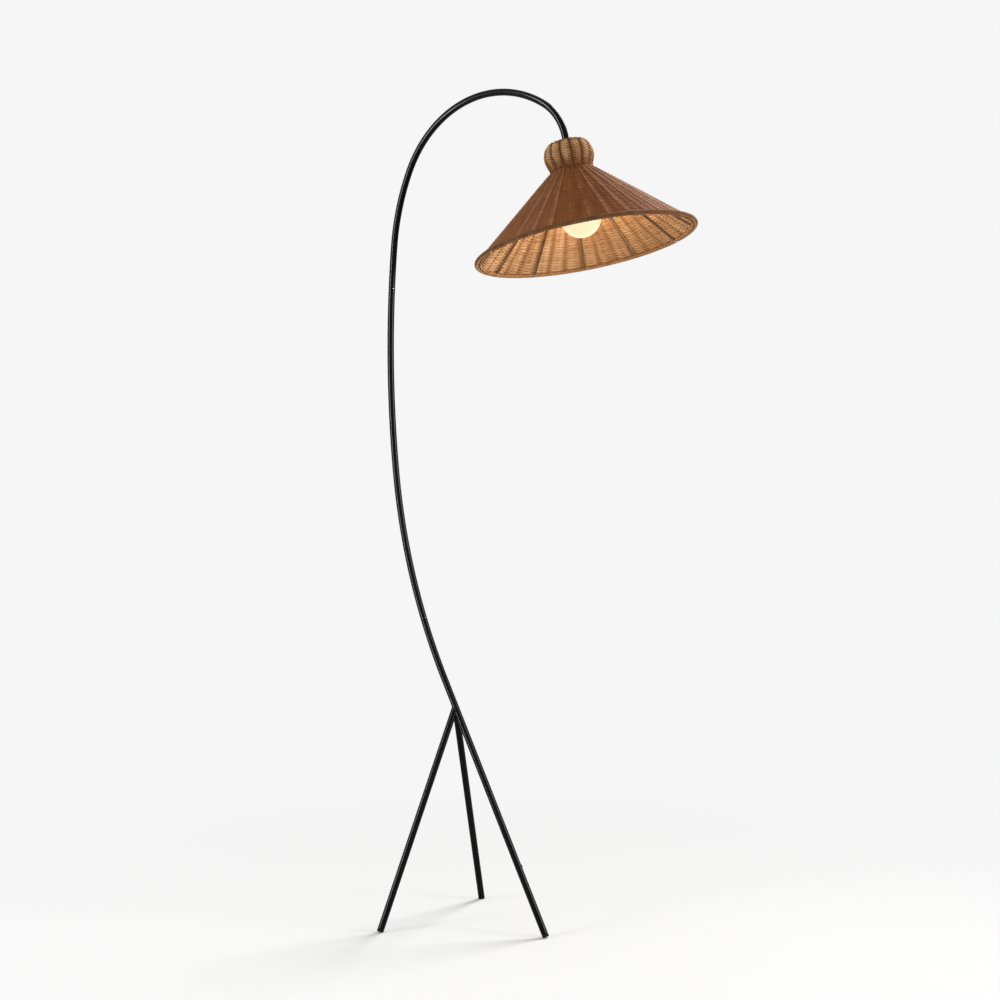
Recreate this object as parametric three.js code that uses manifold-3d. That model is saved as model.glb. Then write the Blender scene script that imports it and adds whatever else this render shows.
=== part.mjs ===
// Rattan floor lamp. A bent steel tube stands on three legs and arches over, and a woven shade
// hangs from its end, tilted, with a globe bulb in a threaded holder.
// Millimetres, +Z up, +X towards the shade. The origin is on the floor, in the middle of the lamp's box.
import * as THREE from "three";
import { mergeVertices } from "three/addons/utils/BufferGeometryUtils.js";
import Module from "manifold-3d";

const wasm = await Module();
wasm.setup();

// Fits
const seatGap = 0.3; // between two pieces that touch
const mergeShare = 0.001; // corners closer than this share of the seat gap are one
const overrun = 10; // how far a cutting solid runs past what it cuts

// Tube of the pole and the legs
const tubeDiameter = 14;
const tubeWall = 1.5;
const tubeSides = 12;

// Pole: a straight front leg, then five bends that follow each other without a kink
const frontLean = 27.48; // degrees from upright
const straightRun = 564.3;
const kneeRadius = 1218.6;
const kneeTurn = 21.1; // degrees
const backRadius = 2298;
const backTurn = 11.85; // degrees
const shoulderRadius = 464.8;
const shoulderTurn = 19.66; // degrees
const archRadius = 242.5;
const archTurn = 96.11; // degrees
const crookRadius = 110.8; // the last bend turns until the tube lies on the shade's axis
const shadeTilt = 13.11; // degrees from upright
const tubeInNeck = 38; // straight end of the tube, most of it inside the neck of the shade
const bendFlatness = 0.22; // how far a straight facet may stray from its bend

// The pole comes apart in three for packing, with a sleeve inside each joint
const lowerTubeReach = 700; // along the pole, from the floor
const middleTubeLength = 700;
const sleeveLength = 70;
const sleeveWall = 1.2;

// Side legs
const tripodSide = 339; // from foot to foot
const legJointReach = 501.6; // along the front leg, from the floor
const legTrimReach = 140; // how far what trims the top of a leg reaches round the joint

// Rubber foot: a plug in the end of each leg, moulded flat where it stands
const footHeadLength = 6;
const footEdgeRadius = 2;
const footStemLength = 18;
const footFlatDepth = 1.1; // how deep the flat cuts the edge off
const footSides = 16;

// Bush for the cord, in the hidden side of the front leg
const bushReach = 150; // along the front leg, from the floor
const bushFlangeRadius = 5.5;
const bushFlangeHeight = 1.4; // proud of the tube
const bushNeckRadius = 3.6;
const bushBoreRadius = 2.7;
const bushSides = 12;

// Threaded nipple in the end of the tube, and its jam nut
const nippleShankLength = 20;
const nippleCollarHeight = 2;
const nippleThreadRadius = 4.9;
const nippleThreadLength = 13;
const nippleBoreRadius = 3.5;
const jamNutFlats = 14;
const jamNutHeight = 4;

// Lamp holder, size E27
const capBossRadius = 9;
const capBossHeight = 2;
const capWall = 2;
const capHeight = 21;
const holderRadius = 19.5;
const shellHeight = 43;
const shellWall = 2;
const shellNoseRadius = 17.4;
const shellNoseLength = 12;
const coreTopGap = 11; // room for the wires, between cap and core
const coreFrontHeight = 8; // how far the core reaches into the shell
const coreCollarHeight = 5;
const coreCollarRadius = 15;
const coreRecessDepth = 2;
const coreSlotWidth = 6;
const coreSlotDepth = 7;
const contactRadius = 13.5; // inside of the screw contact
const contactWall = 0.7;
const contactMouthGap = 2; // from the holder's mouth up to the screw contact
const leafThickness = 0.8;
const leafWidth = 6;
const leafReach = 10;
const leafTongue = 5;
const holderSides = 24;

// Two threaded rings that clamp the shade's fitter on the holder
const clampReach = 17.5; // from the top of the shell down to the fitter
const clampRingRadius = 26;
const clampRingHeight = 4;
const clampRingNotches = 12;
const clampNotchDepth = 0.7;

// Shade fitter: a ring with three arms that carry the waist ring of the wire frame
const fitterRingRadius = 27;
const fitterThickness = 2;
const fitterArms = 3;
const fitterArmWidth = 8;
const fitterArmReach = 31; // outer face of the upright of each arm
const fitterArmTip = 35.6;

// Woven shade, measured down its axis from where the tube's last bend ends
const weaveThickness = 3.5;
const neckTopDepth = 11.6;
const neckTopRadius = 34.2;
const shoulderPower = 1.63; // roundness of the neck's shoulder, where 2 is a quarter ellipse
const bulgeRadius = 48;
const bulgeDepth = 39.1;
const waistRadius = 41.1;
const waistDepth = 65.5;
const neckLobes = 14;
const firstLobe = 14.9; // degrees from +X, seen from above
const neckLobeDepth = 1.3;
const rimRadius = 216.4; // middle of the rolled rim
const rimDepth = 218.2;
const rimRollRadius = 4;
const coneStakes = 36;
const coneFluteDepth = 0.8;
const firstStake = 7; // degrees from +X, seen from above
const topHoleClearance = 1;

// Wire frame inside the shade
const ribCount = 12;
const firstRib = 5.5; // degrees from +X, seen from above
const ribRadius = 1.5;
const hoopRadius = 2; // wire of the waist and rim hoops
const topHoopRadius = 26;
const neckRibShares = [0.35, 0.6, 1]; // from the top of the neck down to the bulge, where a rib turns
const neckRibSlack = 0.5; // the ribs lie a little looser under the weave of the neck
const frameSides = 5;

// Globe bulb, size G80 with an E27 cap
const bulbLength = 120;
const globeRadius = 40;
const glassWall = 1;
const glassNeckRadius = 13.2;
const glassNeckLength = 1.6;
const glassFlareStart = 35; // degrees from the axis, where the globe passes into its neck
const flareLeadShare = 0.2; // of the globe's radius, for how softly the two run together
const bulbCapRadius = 13.1;
const bulbCapWall = 0.6;
const bulbCapLength = 20.5;
const bulbInsulatorTopRadius = 12.4;
const bulbInsulatorLength = 4.8;
const bulbTipRadius = 5;
const bulbTipHeight = 1.3;
const bulbSeatDepth = 27; // from the holder's mouth up to the tip of the bulb
const bulbSides = 20;

// Worked out from the sizes above
const tubeRadius = tubeDiameter / 2;
const tubeBoreRadius = tubeRadius - tubeWall;
const sleeveRadius = tubeBoreRadius - seatGap;
const fullTurn = 2 * Math.PI;
const quarterTurn = 90; // degrees
const radians = THREE.MathUtils.degToRad;
const up = new THREE.Vector3(0, 0, 1);

const blackPaint = finish(0x17171a, 0.42, 0.3);
const blackRubber = finish(0x111111, 0.85, 0);
const zincSteel = finish(0xa9acb0, 0.35, 0.9);
const blackPlastic = finish(0x1b1b1c, 0.5, 0);
const whiteCeramic = finish(0xe9e6df, 0.3, 0);
const brass = finish(0xb8954f, 0.35, 0.9);
const darkWire = finish(0x3a2a20, 0.5, 0.5);
const rattan = finish(0x8d5a34, 0.7, 0);
const rattanRim = finish(0xa87a4e, 0.65, 0);
const opalGlass = finish(0xfff4d0, 0.2, 0);
const nickel = finish(0xc9c7c0, 0.3, 0.9);

function finish(color, roughness, metalness) {
  return new THREE.MeshStandardMaterial({ color, roughness, metalness, flatShading: true });
}

// Adds a named piece to a group.
function addPiece(group, name, geometry, material) {
  const mesh = new THREE.Mesh(geometry, material);
  mesh.name = name;
  group.add(mesh);
  return mesh;
}

// A closed geometry as a solid that can be joined and cut.
function solidOf(geometry) {
  const bare = geometry.clone();
  bare.deleteAttribute("normal");
  bare.deleteAttribute("uv");
  const merged = mergeVertices(bare, seatGap * mergeShare);
  const corners = merged.index.array;
  const kept = [];
  for (let i = 0; i < corners.length; i += 3) {
    const [a, b, c] = corners.slice(i, i + 3);
    if (a !== b && b !== c && c !== a) kept.push(a, b, c);
  }
  return new wasm.Manifold(
    new wasm.Mesh({
      numProp: 3,
      vertProperties: new Float32Array(merged.attributes.position.array),
      triVerts: new Uint32Array(kept),
    }),
  );
}

// A solid back as a geometry.
function geometryOf(solid) {
  const { vertProperties, triVerts } = solid.getMesh();
  const geometry = new THREE.BufferGeometry();
  geometry.setAttribute("position", new THREE.BufferAttribute(new Float32Array(vertProperties), 3));
  geometry.setIndex(new THREE.BufferAttribute(new Uint32Array(triVerts), 1));
  return geometry;
}

// Turns an outline of [radius, depth] points about the Z axis; depth is measured down from the origin.
// The outline closes on itself, or starts and ends on the axis.
function revolve(outline, sides) {
  const points = outline.map(([radius, depth]) => new THREE.Vector2(radius, -depth));
  if (THREE.ShapeUtils.area(points) < 0) points.reverse();
  const onAxis = points[0].x === 0 && points.at(-1).x === 0;
  if (!onAxis) points.push(points[0].clone());
  return new THREE.LatheGeometry(points, sides).rotateX(Math.PI / 2);
}

function polar(radius, angle) {
  return new THREE.Vector2(radius * Math.cos(angle), radius * Math.sin(angle));
}

// Points [radius, depth] on an arc; the angle is 0 outwards and 90 degrees downwards.
function arc(centreRadius, centreDepth, radius, from, to, steps) {
  return Array.from({ length: steps + 1 }, (_, i) => {
    const angle = radians(from + ((to - from) * i) / steps);
    return [centreRadius + radius * Math.cos(angle), centreDepth + radius * Math.sin(angle)];
  });
}

// Waves the radius of a turned shape, so that it has a number of lobes, the first at an angle in degrees.
function flute(geometry, lobes, depth, first) {
  const places = geometry.attributes.position;
  for (let i = 0; i < places.count; i++) {
    const x = places.getX(i);
    const y = places.getY(i);
    const radius = Math.hypot(x, y);
    const angle = Math.atan2(y, x);
    const scale = (radius + depth * Math.cos(lobes * (angle - radians(first)))) / radius;
    places.setXY(i, x * scale, y * scale);
  }
  return geometry;
}

// The section of a round tube or rod.
function roundSection(outerRadius, innerRadius) {
  const section = new THREE.Shape().absarc(0, 0, outerRadius, 0, fullTurn);
  if (innerRadius) section.holes.push(new THREE.Path().absarc(0, 0, innerRadius, 0, fullTurn, true));
  return section;
}

// Runs a round section along a path, with one step between stations.
function sweep(path, sides, outerRadius, innerRadius = 0) {
  return new THREE.ExtrudeGeometry(roundSection(outerRadius, innerRadius), {
    extrudePath: path,
    steps: path.steps ?? 1,
    curveSegments: sides / 2,
    bevelEnabled: false,
  });
}

// A plate of a flat outline, with its middle plane at Y = 0 and its outline in X and depth.
function plate(outline, thickness) {
  const shape = new THREE.Shape(outline.map(([x, depth]) => new THREE.Vector2(x, -depth)));
  const slab = new THREE.ExtrudeGeometry(shape, { depth: thickness, bevelEnabled: false });
  return slab.translate(0, 0, -thickness / 2).rotateX(Math.PI / 2);
}

// The pole's runs in order, each with its length and its radius, 0 for a straight one
const bends = [
  [kneeRadius, kneeTurn],
  [backRadius, backTurn],
  [shoulderRadius, shoulderTurn],
  [archRadius, archTurn],
];
const turned = bends.reduce((sum, [, degrees]) => sum + degrees, 0);
const crookTurn = 180 + frontLean - shadeTilt - turned;
const poleRuns = [
  { length: straightRun, radius: 0 },
  ...[...bends, [crookRadius, crookTurn]].map(([radius, degrees]) => ({
    length: radius * radians(degrees),
    radius,
  })),
  { length: tubeInNeck, radius: 0 },
];
const poleLength = poleRuns.reduce((sum, run) => sum + run.length, 0);

// Place and direction on the pole's centreline, at a distance along it from the floor.
function poleAt(distance) {
  let heading = Math.PI / 2 + radians(frontLean);
  let x = 0;
  let z = 0;
  let left = distance;
  for (const run of poleRuns) {
    const length = Math.min(left, run.length);
    const turn = run.radius ? length / run.radius : 0;
    if (run.radius) {
      x += run.radius * (Math.sin(heading) - Math.sin(heading - turn));
      z += run.radius * (Math.cos(heading - turn) - Math.cos(heading));
    } else {
      x += length * Math.cos(heading);
      z += length * Math.sin(heading);
    }
    heading -= turn;
    left -= length;
  }
  return {
    place: new THREE.Vector3(x, 0, z),
    direction: new THREE.Vector3(Math.cos(heading), 0, Math.sin(heading)),
  };
}

// A path that is sampled only at its stations, each a place and a direction.
class StationPath extends THREE.Curve {
  constructor(stations) {
    super();
    this.stations = stations;
    this.steps = stations.length - 1;
  }

  getUtoTmapping(u) {
    return u;
  }

  between(t, part) {
    const i = Math.min(Math.floor(t * this.steps), this.steps - 1);
    return this.stations[i][part].clone().lerp(this.stations[i + 1][part], t * this.steps - i);
  }

  getPoint(t) {
    return this.between(t, "place");
  }

  getTangent(t) {
    return this.between(t, "direction").normalize();
  }
}

// A stretch of the pole's centreline, with stations where its bend changes, and enough between them
// to keep each facet close to its bend.
function poleStretch(from, to) {
  const stations = [poleAt(from)];
  let start = 0;
  for (const run of poleRuns) {
    const low = Math.max(from, start);
    const high = Math.min(to, start + run.length);
    const facet = 2 * Math.sqrt(2 * run.radius * bendFlatness);
    const steps = run.radius ? Math.ceil((high - low) / facet) : 1;
    if (high > low)
      for (let i = 1; i <= steps; i++) stations.push(poleAt(low + ((high - low) * i) / steps));
    start += run.length;
  }
  return new StationPath(stations);
}

function poleTube(from, to, outerRadius, innerRadius) {
  return sweep(poleStretch(from, to), tubeSides, outerRadius, innerRadius);
}

// Where the lower face of a foot lies on the axis of its leg, so that the floor cuts the flat to its depth
function footStart(lean) {
  const edgeReach = Math.sin(lean) * (tubeRadius - footEdgeRadius) + footEdgeRadius;
  return (edgeReach - footFlatDepth) / Math.cos(lean) - footEdgeRadius;
}

function legTubeStart(lean) {
  return footStart(lean) + footHeadLength + seatGap;
}

// A rubber foot on a leg that meets the floor at a point and rises in a direction.
function footGeometry(floorPoint, direction) {
  const start = footStart(direction.angleTo(up));
  const headEnd = start + footHeadLength;
  const corner = arc(tubeRadius - footEdgeRadius, start + footEdgeRadius, footEdgeRadius, -quarterTurn, 0, 3);
  const outline = [
    [0, start],
    ...corner,
    [tubeRadius, headEnd],
    [sleeveRadius, headEnd],
    [sleeveRadius, headEnd + footStemLength],
    [0, headEnd + footStemLength],
  ];
  const risen = outline.map(([radius, height]) => [radius, -height]);
  const turnUp = new THREE.Quaternion().setFromUnitVectors(up, direction);
  const plug = revolve(risen, footSides).applyQuaternion(turnUp).translate(...floorPoint);
  const side = tubeDiameter + overrun;
  const ground = new THREE.BoxGeometry(side, side, overrun).translate(0, 0, -overrun / 2);
  ground.translate(floorPoint.x, floorPoint.y, 0);
  return geometryOf(solidOf(plug).subtract(solidOf(ground)));
}

// Pole, legs and feet
const stand = new THREE.Group();
const lowerJoint = lowerTubeReach;
const upperJoint = lowerTubeReach + middleTubeLength;
const frontFoot = poleAt(0);
const apex = poleAt(legJointReach).place;

function lowerTube() {
  const start = legTubeStart(radians(frontLean));
  const tube = solidOf(poleTube(start, lowerJoint - seatGap / 2, tubeRadius, tubeBoreRadius));
  const { place } = poleAt(bushReach);
  const drill = new THREE.CylinderGeometry(
    bushNeckRadius + seatGap,
    bushNeckRadius + seatGap,
    tubeRadius + overrun,
    bushSides,
  ).translate(place.x, (tubeRadius + overrun) / 2, place.z);
  return geometryOf(tube.subtract(solidOf(drill)));
}

// The bush sits astride the tube: its flange is hollowed to the tube, and its neck goes through the wall.
function cordBush() {
  const { place } = poleAt(bushReach);
  const top = tubeRadius + bushFlangeHeight;
  const neckStart = tubeBoreRadius - seatGap;
  const flange = new THREE.CylinderGeometry(
    bushFlangeRadius - bushFlangeHeight / 2,
    bushFlangeRadius,
    top,
    bushSides,
  ).translate(0, top / 2, 0);
  const neckLength = top - neckStart;
  const neck = new THREE.CylinderGeometry(bushNeckRadius, bushNeckRadius, neckLength, bushSides);
  neck.translate(0, neckStart + neckLength / 2, 0);
  const bore = new THREE.CylinderGeometry(bushBoreRadius, bushBoreRadius, top + overrun, bushSides);
  bore.translate(0, (top + overrun) / 2, 0);
  const reach = bushFlangeRadius + overrun;
  const tube = solidOf(poleTube(bushReach - reach, bushReach + reach, tubeRadius + seatGap));
  const placed = (geometry) => solidOf(geometry.translate(place.x, 0, place.z));
  return geometryOf(placed(flange).subtract(tube).add(placed(neck)).subtract(placed(bore)));
}

// A side leg, cut to the pole where it butts on it, and to the middle plane where it meets the other leg.
function sideLeg(floorPoint, side) {
  const direction = apex.clone().sub(floorPoint).normalize();
  const start = floorPoint.clone().addScaledVector(direction, legTubeStart(direction.angleTo(up)));
  const middleLine = new THREE.LineCurve3(start, apex);
  const tube = solidOf(sweep(middleLine, tubeSides, tubeRadius, tubeBoreRadius));
  const [low, high] = [legJointReach - legTrimReach, legJointReach + legTrimReach];
  const pole = solidOf(poleTube(low, high, tubeRadius + seatGap));
  const farSide = new THREE.BoxGeometry(legTrimReach, legTrimReach, legTrimReach);
  farSide.translate(apex.x, apex.y - (side * (legTrimReach - seatGap)) / 2, apex.z);
  return geometryOf(tube.subtract(pole).subtract(solidOf(farSide)));
}

const behindFront = (tripodSide * Math.sqrt(3)) / 2;
const sideFeet = {
  left: new THREE.Vector3(-behindFront, -tripodSide / 2, 0),
  back: new THREE.Vector3(-behindFront, tripodSide / 2, 0),
};

addPiece(stand, "lower_tube", lowerTube(), blackPaint);
addPiece(
  stand,
  "middle_tube",
  poleTube(lowerJoint + seatGap / 2, upperJoint - seatGap / 2, tubeRadius, tubeBoreRadius),
  blackPaint,
);
addPiece(
  stand,
  "arch_tube",
  poleTube(upperJoint + seatGap / 2, poleLength, tubeRadius, tubeBoreRadius),
  blackPaint,
);
for (const [name, joint] of [
  ["lower_sleeve", lowerJoint],
  ["upper_sleeve", upperJoint],
])
  addPiece(
    stand,
    name,
    poleTube(joint - sleeveLength / 2, joint + sleeveLength / 2, sleeveRadius, sleeveRadius - sleeveWall),
    zincSteel,
  );
addPiece(stand, "cord_bush", cordBush(), blackRubber);
addPiece(stand, "front_foot", footGeometry(frontFoot.place, frontFoot.direction), blackRubber);
for (const [name, floorPoint] of Object.entries(sideFeet)) {
  const direction = apex.clone().sub(floorPoint).normalize();
  addPiece(stand, name + "_leg", sideLeg(floorPoint, Math.sign(floorPoint.y)), blackPaint);
  addPiece(stand, name + "_foot", footGeometry(floorPoint, direction), blackRubber);
}

// Everything on the shade's axis is measured down from where the last bend ends
const head = new THREE.Group();
head.position.copy(poleAt(poleLength - tubeInNeck).place);
head.rotation.y = -radians(shadeTilt);

// Depths of the holder's pieces, one below the other
const collarTop = tubeInNeck + seatGap;
const nutTop = collarTop + nippleCollarHeight + seatGap;
const capTop = nutTop + jamNutHeight + seatGap;
const shellTop = capTop + capHeight + seatGap;
const mouth = shellTop + shellHeight;
const coreTop = capTop + capWall + coreTopGap;
const coreCollarTop = shellTop + coreFrontHeight;
const coreEnd = coreCollarTop + coreCollarHeight;
const coreRadius = holderRadius - shellWall - seatGap;
const bulbTip = mouth - bulbSeatDepth;
const fitterTop = shellTop + clampReach;

function tubeNipple() {
  const threadEnd = collarTop + nippleCollarHeight + nippleThreadLength;
  return revolve(
    [
      [sleeveRadius, tubeInNeck - nippleShankLength],
      [sleeveRadius, collarTop],
      [tubeRadius, collarTop],
      [tubeRadius, collarTop + nippleCollarHeight],
      [nippleThreadRadius, collarTop + nippleCollarHeight],
      [nippleThreadRadius, threadEnd],
      [nippleBoreRadius, threadEnd],
      [nippleBoreRadius, tubeInNeck - nippleShankLength],
    ],
    tubeSides,
  );
}

function jamNut() {
  const corner = jamNutFlats / Math.sqrt(3);
  const hexagon = new THREE.Shape(
    Array.from({ length: 6 }, (_, i) => polar(corner, (i * fullTurn) / 6)),
  );
  hexagon.holes.push(new THREE.Path().absarc(0, 0, nippleThreadRadius + seatGap, 0, fullTurn, true));
  return new THREE.ExtrudeGeometry(hexagon, {
    depth: jamNutHeight,
    bevelEnabled: false,
    curveSegments: tubeSides / 2,
  }).translate(0, 0, -nutTop - jamNutHeight);
}

// A domed cap with a boss that the nipple screws into.
function holderCap() {
  const domeRadius = holderRadius - capBossRadius;
  const domeTop = capTop + capBossHeight;
  const outer = arc(capBossRadius, domeTop + domeRadius, domeRadius, -quarterTurn, 0, 3);
  const inner = arc(capBossRadius, domeTop + domeRadius, domeRadius - capWall, 0, -quarterTurn, 2);
  const hole = nippleThreadRadius + seatGap;
  return revolve(
    [
      [hole, capTop],
      [capBossRadius, capTop],
      ...outer,
      [holderRadius, capTop + capHeight],
      [holderRadius - capWall, capTop + capHeight],
      ...inner,
      [hole, domeTop + capWall],
    ],
    holderSides,
  );
}

// The insulating core: a slot across its back takes the terminals, and its front locates the contacts.
function holderCore() {
  const core = revolve(
    [
      [0, coreTop],
      [coreRadius, coreTop],
      [coreRadius, coreCollarTop],
      [coreCollarRadius, coreCollarTop],
      [coreCollarRadius, coreEnd],
      [contactRadius - contactWall, coreEnd],
      [contactRadius - contactWall, coreEnd - coreRecessDepth],
      [0, coreEnd - coreRecessDepth],
    ],
    holderSides,
  );
  const slot = new THREE.BoxGeometry(coreSlotWidth, 2 * coreRadius + overrun, coreSlotDepth + overrun);
  slot.translate(0, 0, -coreTop - coreSlotDepth + (coreSlotDepth + overrun) / 2);
  return geometryOf(solidOf(core).subtract(solidOf(slot)));
}

// The shell screws over the cap; it is wide over the core and narrow round the screw contact.
function holderShell() {
  const narrow = contactRadius + contactWall + seatGap;
  const shoulder = coreEnd + seatGap;
  const nose = mouth - shellNoseLength;
  return revolve(
    [
      [holderRadius, shellTop],
      [holderRadius, nose],
      [shellNoseRadius, nose + holderRadius - shellNoseRadius],
      [shellNoseRadius, mouth],
      [narrow, mouth],
      [narrow, shoulder],
      [holderRadius - shellWall, shoulder],
      [holderRadius - shellWall, shellTop],
    ],
    holderSides,
  );
}

function screwContact() {
  const top = coreEnd + seatGap;
  const end = mouth - contactMouthGap;
  return revolve(
    [
      [contactRadius, top],
      [contactRadius + contactWall, top],
      [contactRadius + contactWall, end],
      [contactRadius, end],
    ],
    holderSides,
  );
}

// A brass leaf that lies in the core's recess and rises to the tip of the bulb.
function centreContact() {
  const base = coreEnd - coreRecessDepth + seatGap;
  const tip = bulbTip - seatGap - leafThickness;
  const bend = leafReach / 2;
  return plate(
    [
      [-leafReach, base],
      [-leafReach, base + leafThickness],
      [-bend, base + leafThickness],
      [0, tip + leafThickness],
      [leafTongue, tip + leafThickness],
      [leafTongue, tip],
      [leafThickness / 2, tip],
      [leafThickness / 2 - bend, base],
    ],
    leafWidth,
  );
}

// A ring with a notched edge for the fingers.
function clampRing(top) {
  const steps = 4 * clampRingNotches;
  const edge = Array.from({ length: steps }, (_, i) => {
    const angle = (i * fullTurn) / steps;
    const wave = (1 + Math.cos(clampRingNotches * angle)) / 2;
    return polar(clampRingRadius - clampNotchDepth * wave, angle);
  });
  const ring = new THREE.Shape(edge);
  ring.holes.push(new THREE.Path().absarc(0, 0, holderRadius + seatGap, 0, fullTurn, true));
  return new THREE.ExtrudeGeometry(ring, {
    depth: clampRingHeight,
    bevelEnabled: false,
    curveSegments: holderSides / 2,
  }).translate(0, 0, -top - clampRingHeight);
}

// Each arm goes out from the ring, up, and out again under the waist hoop, between two ribs.
function shadeFitter() {
  const bottom = fitterTop + fitterThickness;
  const seat = waistDepth + hoopRadius + seatGap;
  const inside = fitterArmReach - fitterThickness;
  const root = fitterRingRadius - fitterThickness;
  const ring = revolve(
    [
      [holderRadius + seatGap, fitterTop],
      [fitterRingRadius, fitterTop],
      [fitterRingRadius, bottom],
      [holderRadius + seatGap, bottom],
    ],
    holderSides,
  );
  const side = [
    [root, bottom],
    [fitterArmReach, bottom],
    [fitterArmReach, seat + fitterThickness],
    [fitterArmTip, seat + fitterThickness],
    [fitterArmTip, seat],
    [inside, seat],
    [inside, fitterTop],
    [root, fitterTop],
  ];
  let fitter = solidOf(ring);
  for (let i = 0; i < fitterArms; i++) {
    const angle = radians(firstRib) + fullTurn / ribCount / 2 + (i * fullTurn) / fitterArms;
    fitter = fitter.add(solidOf(plate(side, fitterArmWidth).rotateZ(angle)));
  }
  return geometryOf(fitter);
}

addPiece(head, "tube_nipple", tubeNipple(), zincSteel);
addPiece(head, "jam_nut", jamNut(), zincSteel);
addPiece(head, "holder_cap", holderCap(), blackPlastic);
addPiece(head, "holder_core", holderCore(), whiteCeramic);
addPiece(head, "holder_shell", holderShell(), blackPlastic);
addPiece(head, "screw_contact", screwContact(), brass);
addPiece(head, "centre_contact", centreContact(), brass);
addPiece(head, "upper_clamp_ring", clampRing(fitterTop - seatGap - clampRingHeight), blackPlastic);
addPiece(head, "lower_clamp_ring", clampRing(fitterTop + fitterThickness + seatGap), blackPlastic);
addPiece(head, "shade_fitter", shadeFitter(), zincSteel);

// Outer radius of the neck at a depth: a round shoulder out to the bulge, then a soft run in to the waist.
function neckRadius(depth) {
  if (depth < bulgeDepth) {
    const share = (bulgeDepth - depth) / (bulgeDepth - neckTopDepth);
    const swell = (1 - share ** shoulderPower) ** (1 / shoulderPower);
    return neckTopRadius + (bulgeRadius - neckTopRadius) * swell;
  }
  const share = (depth - bulgeDepth) / (waistDepth - bulgeDepth);
  return bulgeRadius - ((bulgeRadius - waistRadius) * (1 - Math.cos(Math.PI * share))) / 2;
}

// The cone's slope, as [radius, depth] vectors: down along the weave, and square to it into the shade
const waistEdge = new THREE.Vector2(waistRadius, waistDepth);
const rimCentre = new THREE.Vector2(rimRadius, rimDepth);
const downSlope = rimCentre.clone().sub(waistEdge).normalize();
const inwards = new THREE.Vector2(-downSlope.y, downSlope.x);
const rimEdge = rimCentre.clone().addScaledVector(inwards, -weaveThickness / 2);

function wovenTop() {
  const outer = neckTopRadius - weaveThickness - neckLobeDepth - seatGap;
  const hole = tubeRadius + topHoleClearance;
  const half = weaveThickness / 2;
  const middleDepth = neckTopDepth + half;
  return revolve(
    [
      ...arc(outer - half, middleDepth, half, -quarterTurn, quarterTurn, 2),
      ...arc(hole + half, middleDepth, half, quarterTurn, 3 * quarterTurn, 2),
    ],
    holderSides,
  );
}

// The neck's shell, with a shallow groove between each two bundles of stakes.
function wovenNeck() {
  const steps = 6;
  const outer = Array.from({ length: steps + 1 }, (_, i) => {
    const share = 1 - Math.cos((Math.PI * i) / steps / 2);
    const depth = neckTopDepth + (waistDepth - neckTopDepth) * share;
    return [neckRadius(depth), depth];
  });
  const inner = outer.map(([radius, depth]) => [radius - weaveThickness, depth]).reverse();
  const shell = revolve([...outer, ...inner], 4 * neckLobes);
  return flute(shell, neckLobes, neckLobeDepth, firstLobe);
}

// The cone's shell, with one flute over each stake; it stops at the rolled rim.
function wovenCone() {
  const top = waistEdge.clone().addScaledVector(downSlope, seatGap / downSlope.y);
  const setback = rimRollRadius + seatGap + coneFluteDepth;
  const bottom = rimEdge.clone().addScaledVector(downSlope, -setback);
  const at = (point, depth) => point.clone().addScaledVector(inwards, depth).toArray();
  const shell = revolve(
    [at(top, 0), at(bottom, 0), at(bottom, weaveThickness), at(top, weaveThickness)],
    4 * coneStakes,
  );
  return flute(shell, coneStakes, coneFluteDepth, firstStake);
}

function rimRoll() {
  const roll = new THREE.TorusGeometry(rimRadius, rimRollRadius, 6, 2 * coneStakes);
  return roll.translate(0, 0, -rimDepth);
}

// A hoop of round wire about the axis.
function hoop(radius, depth, wireRadius, steps) {
  const ring = new THREE.TorusGeometry(radius, wireRadius, frameSides, steps);
  return solidOf(ring.translate(0, 0, -depth));
}

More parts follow.
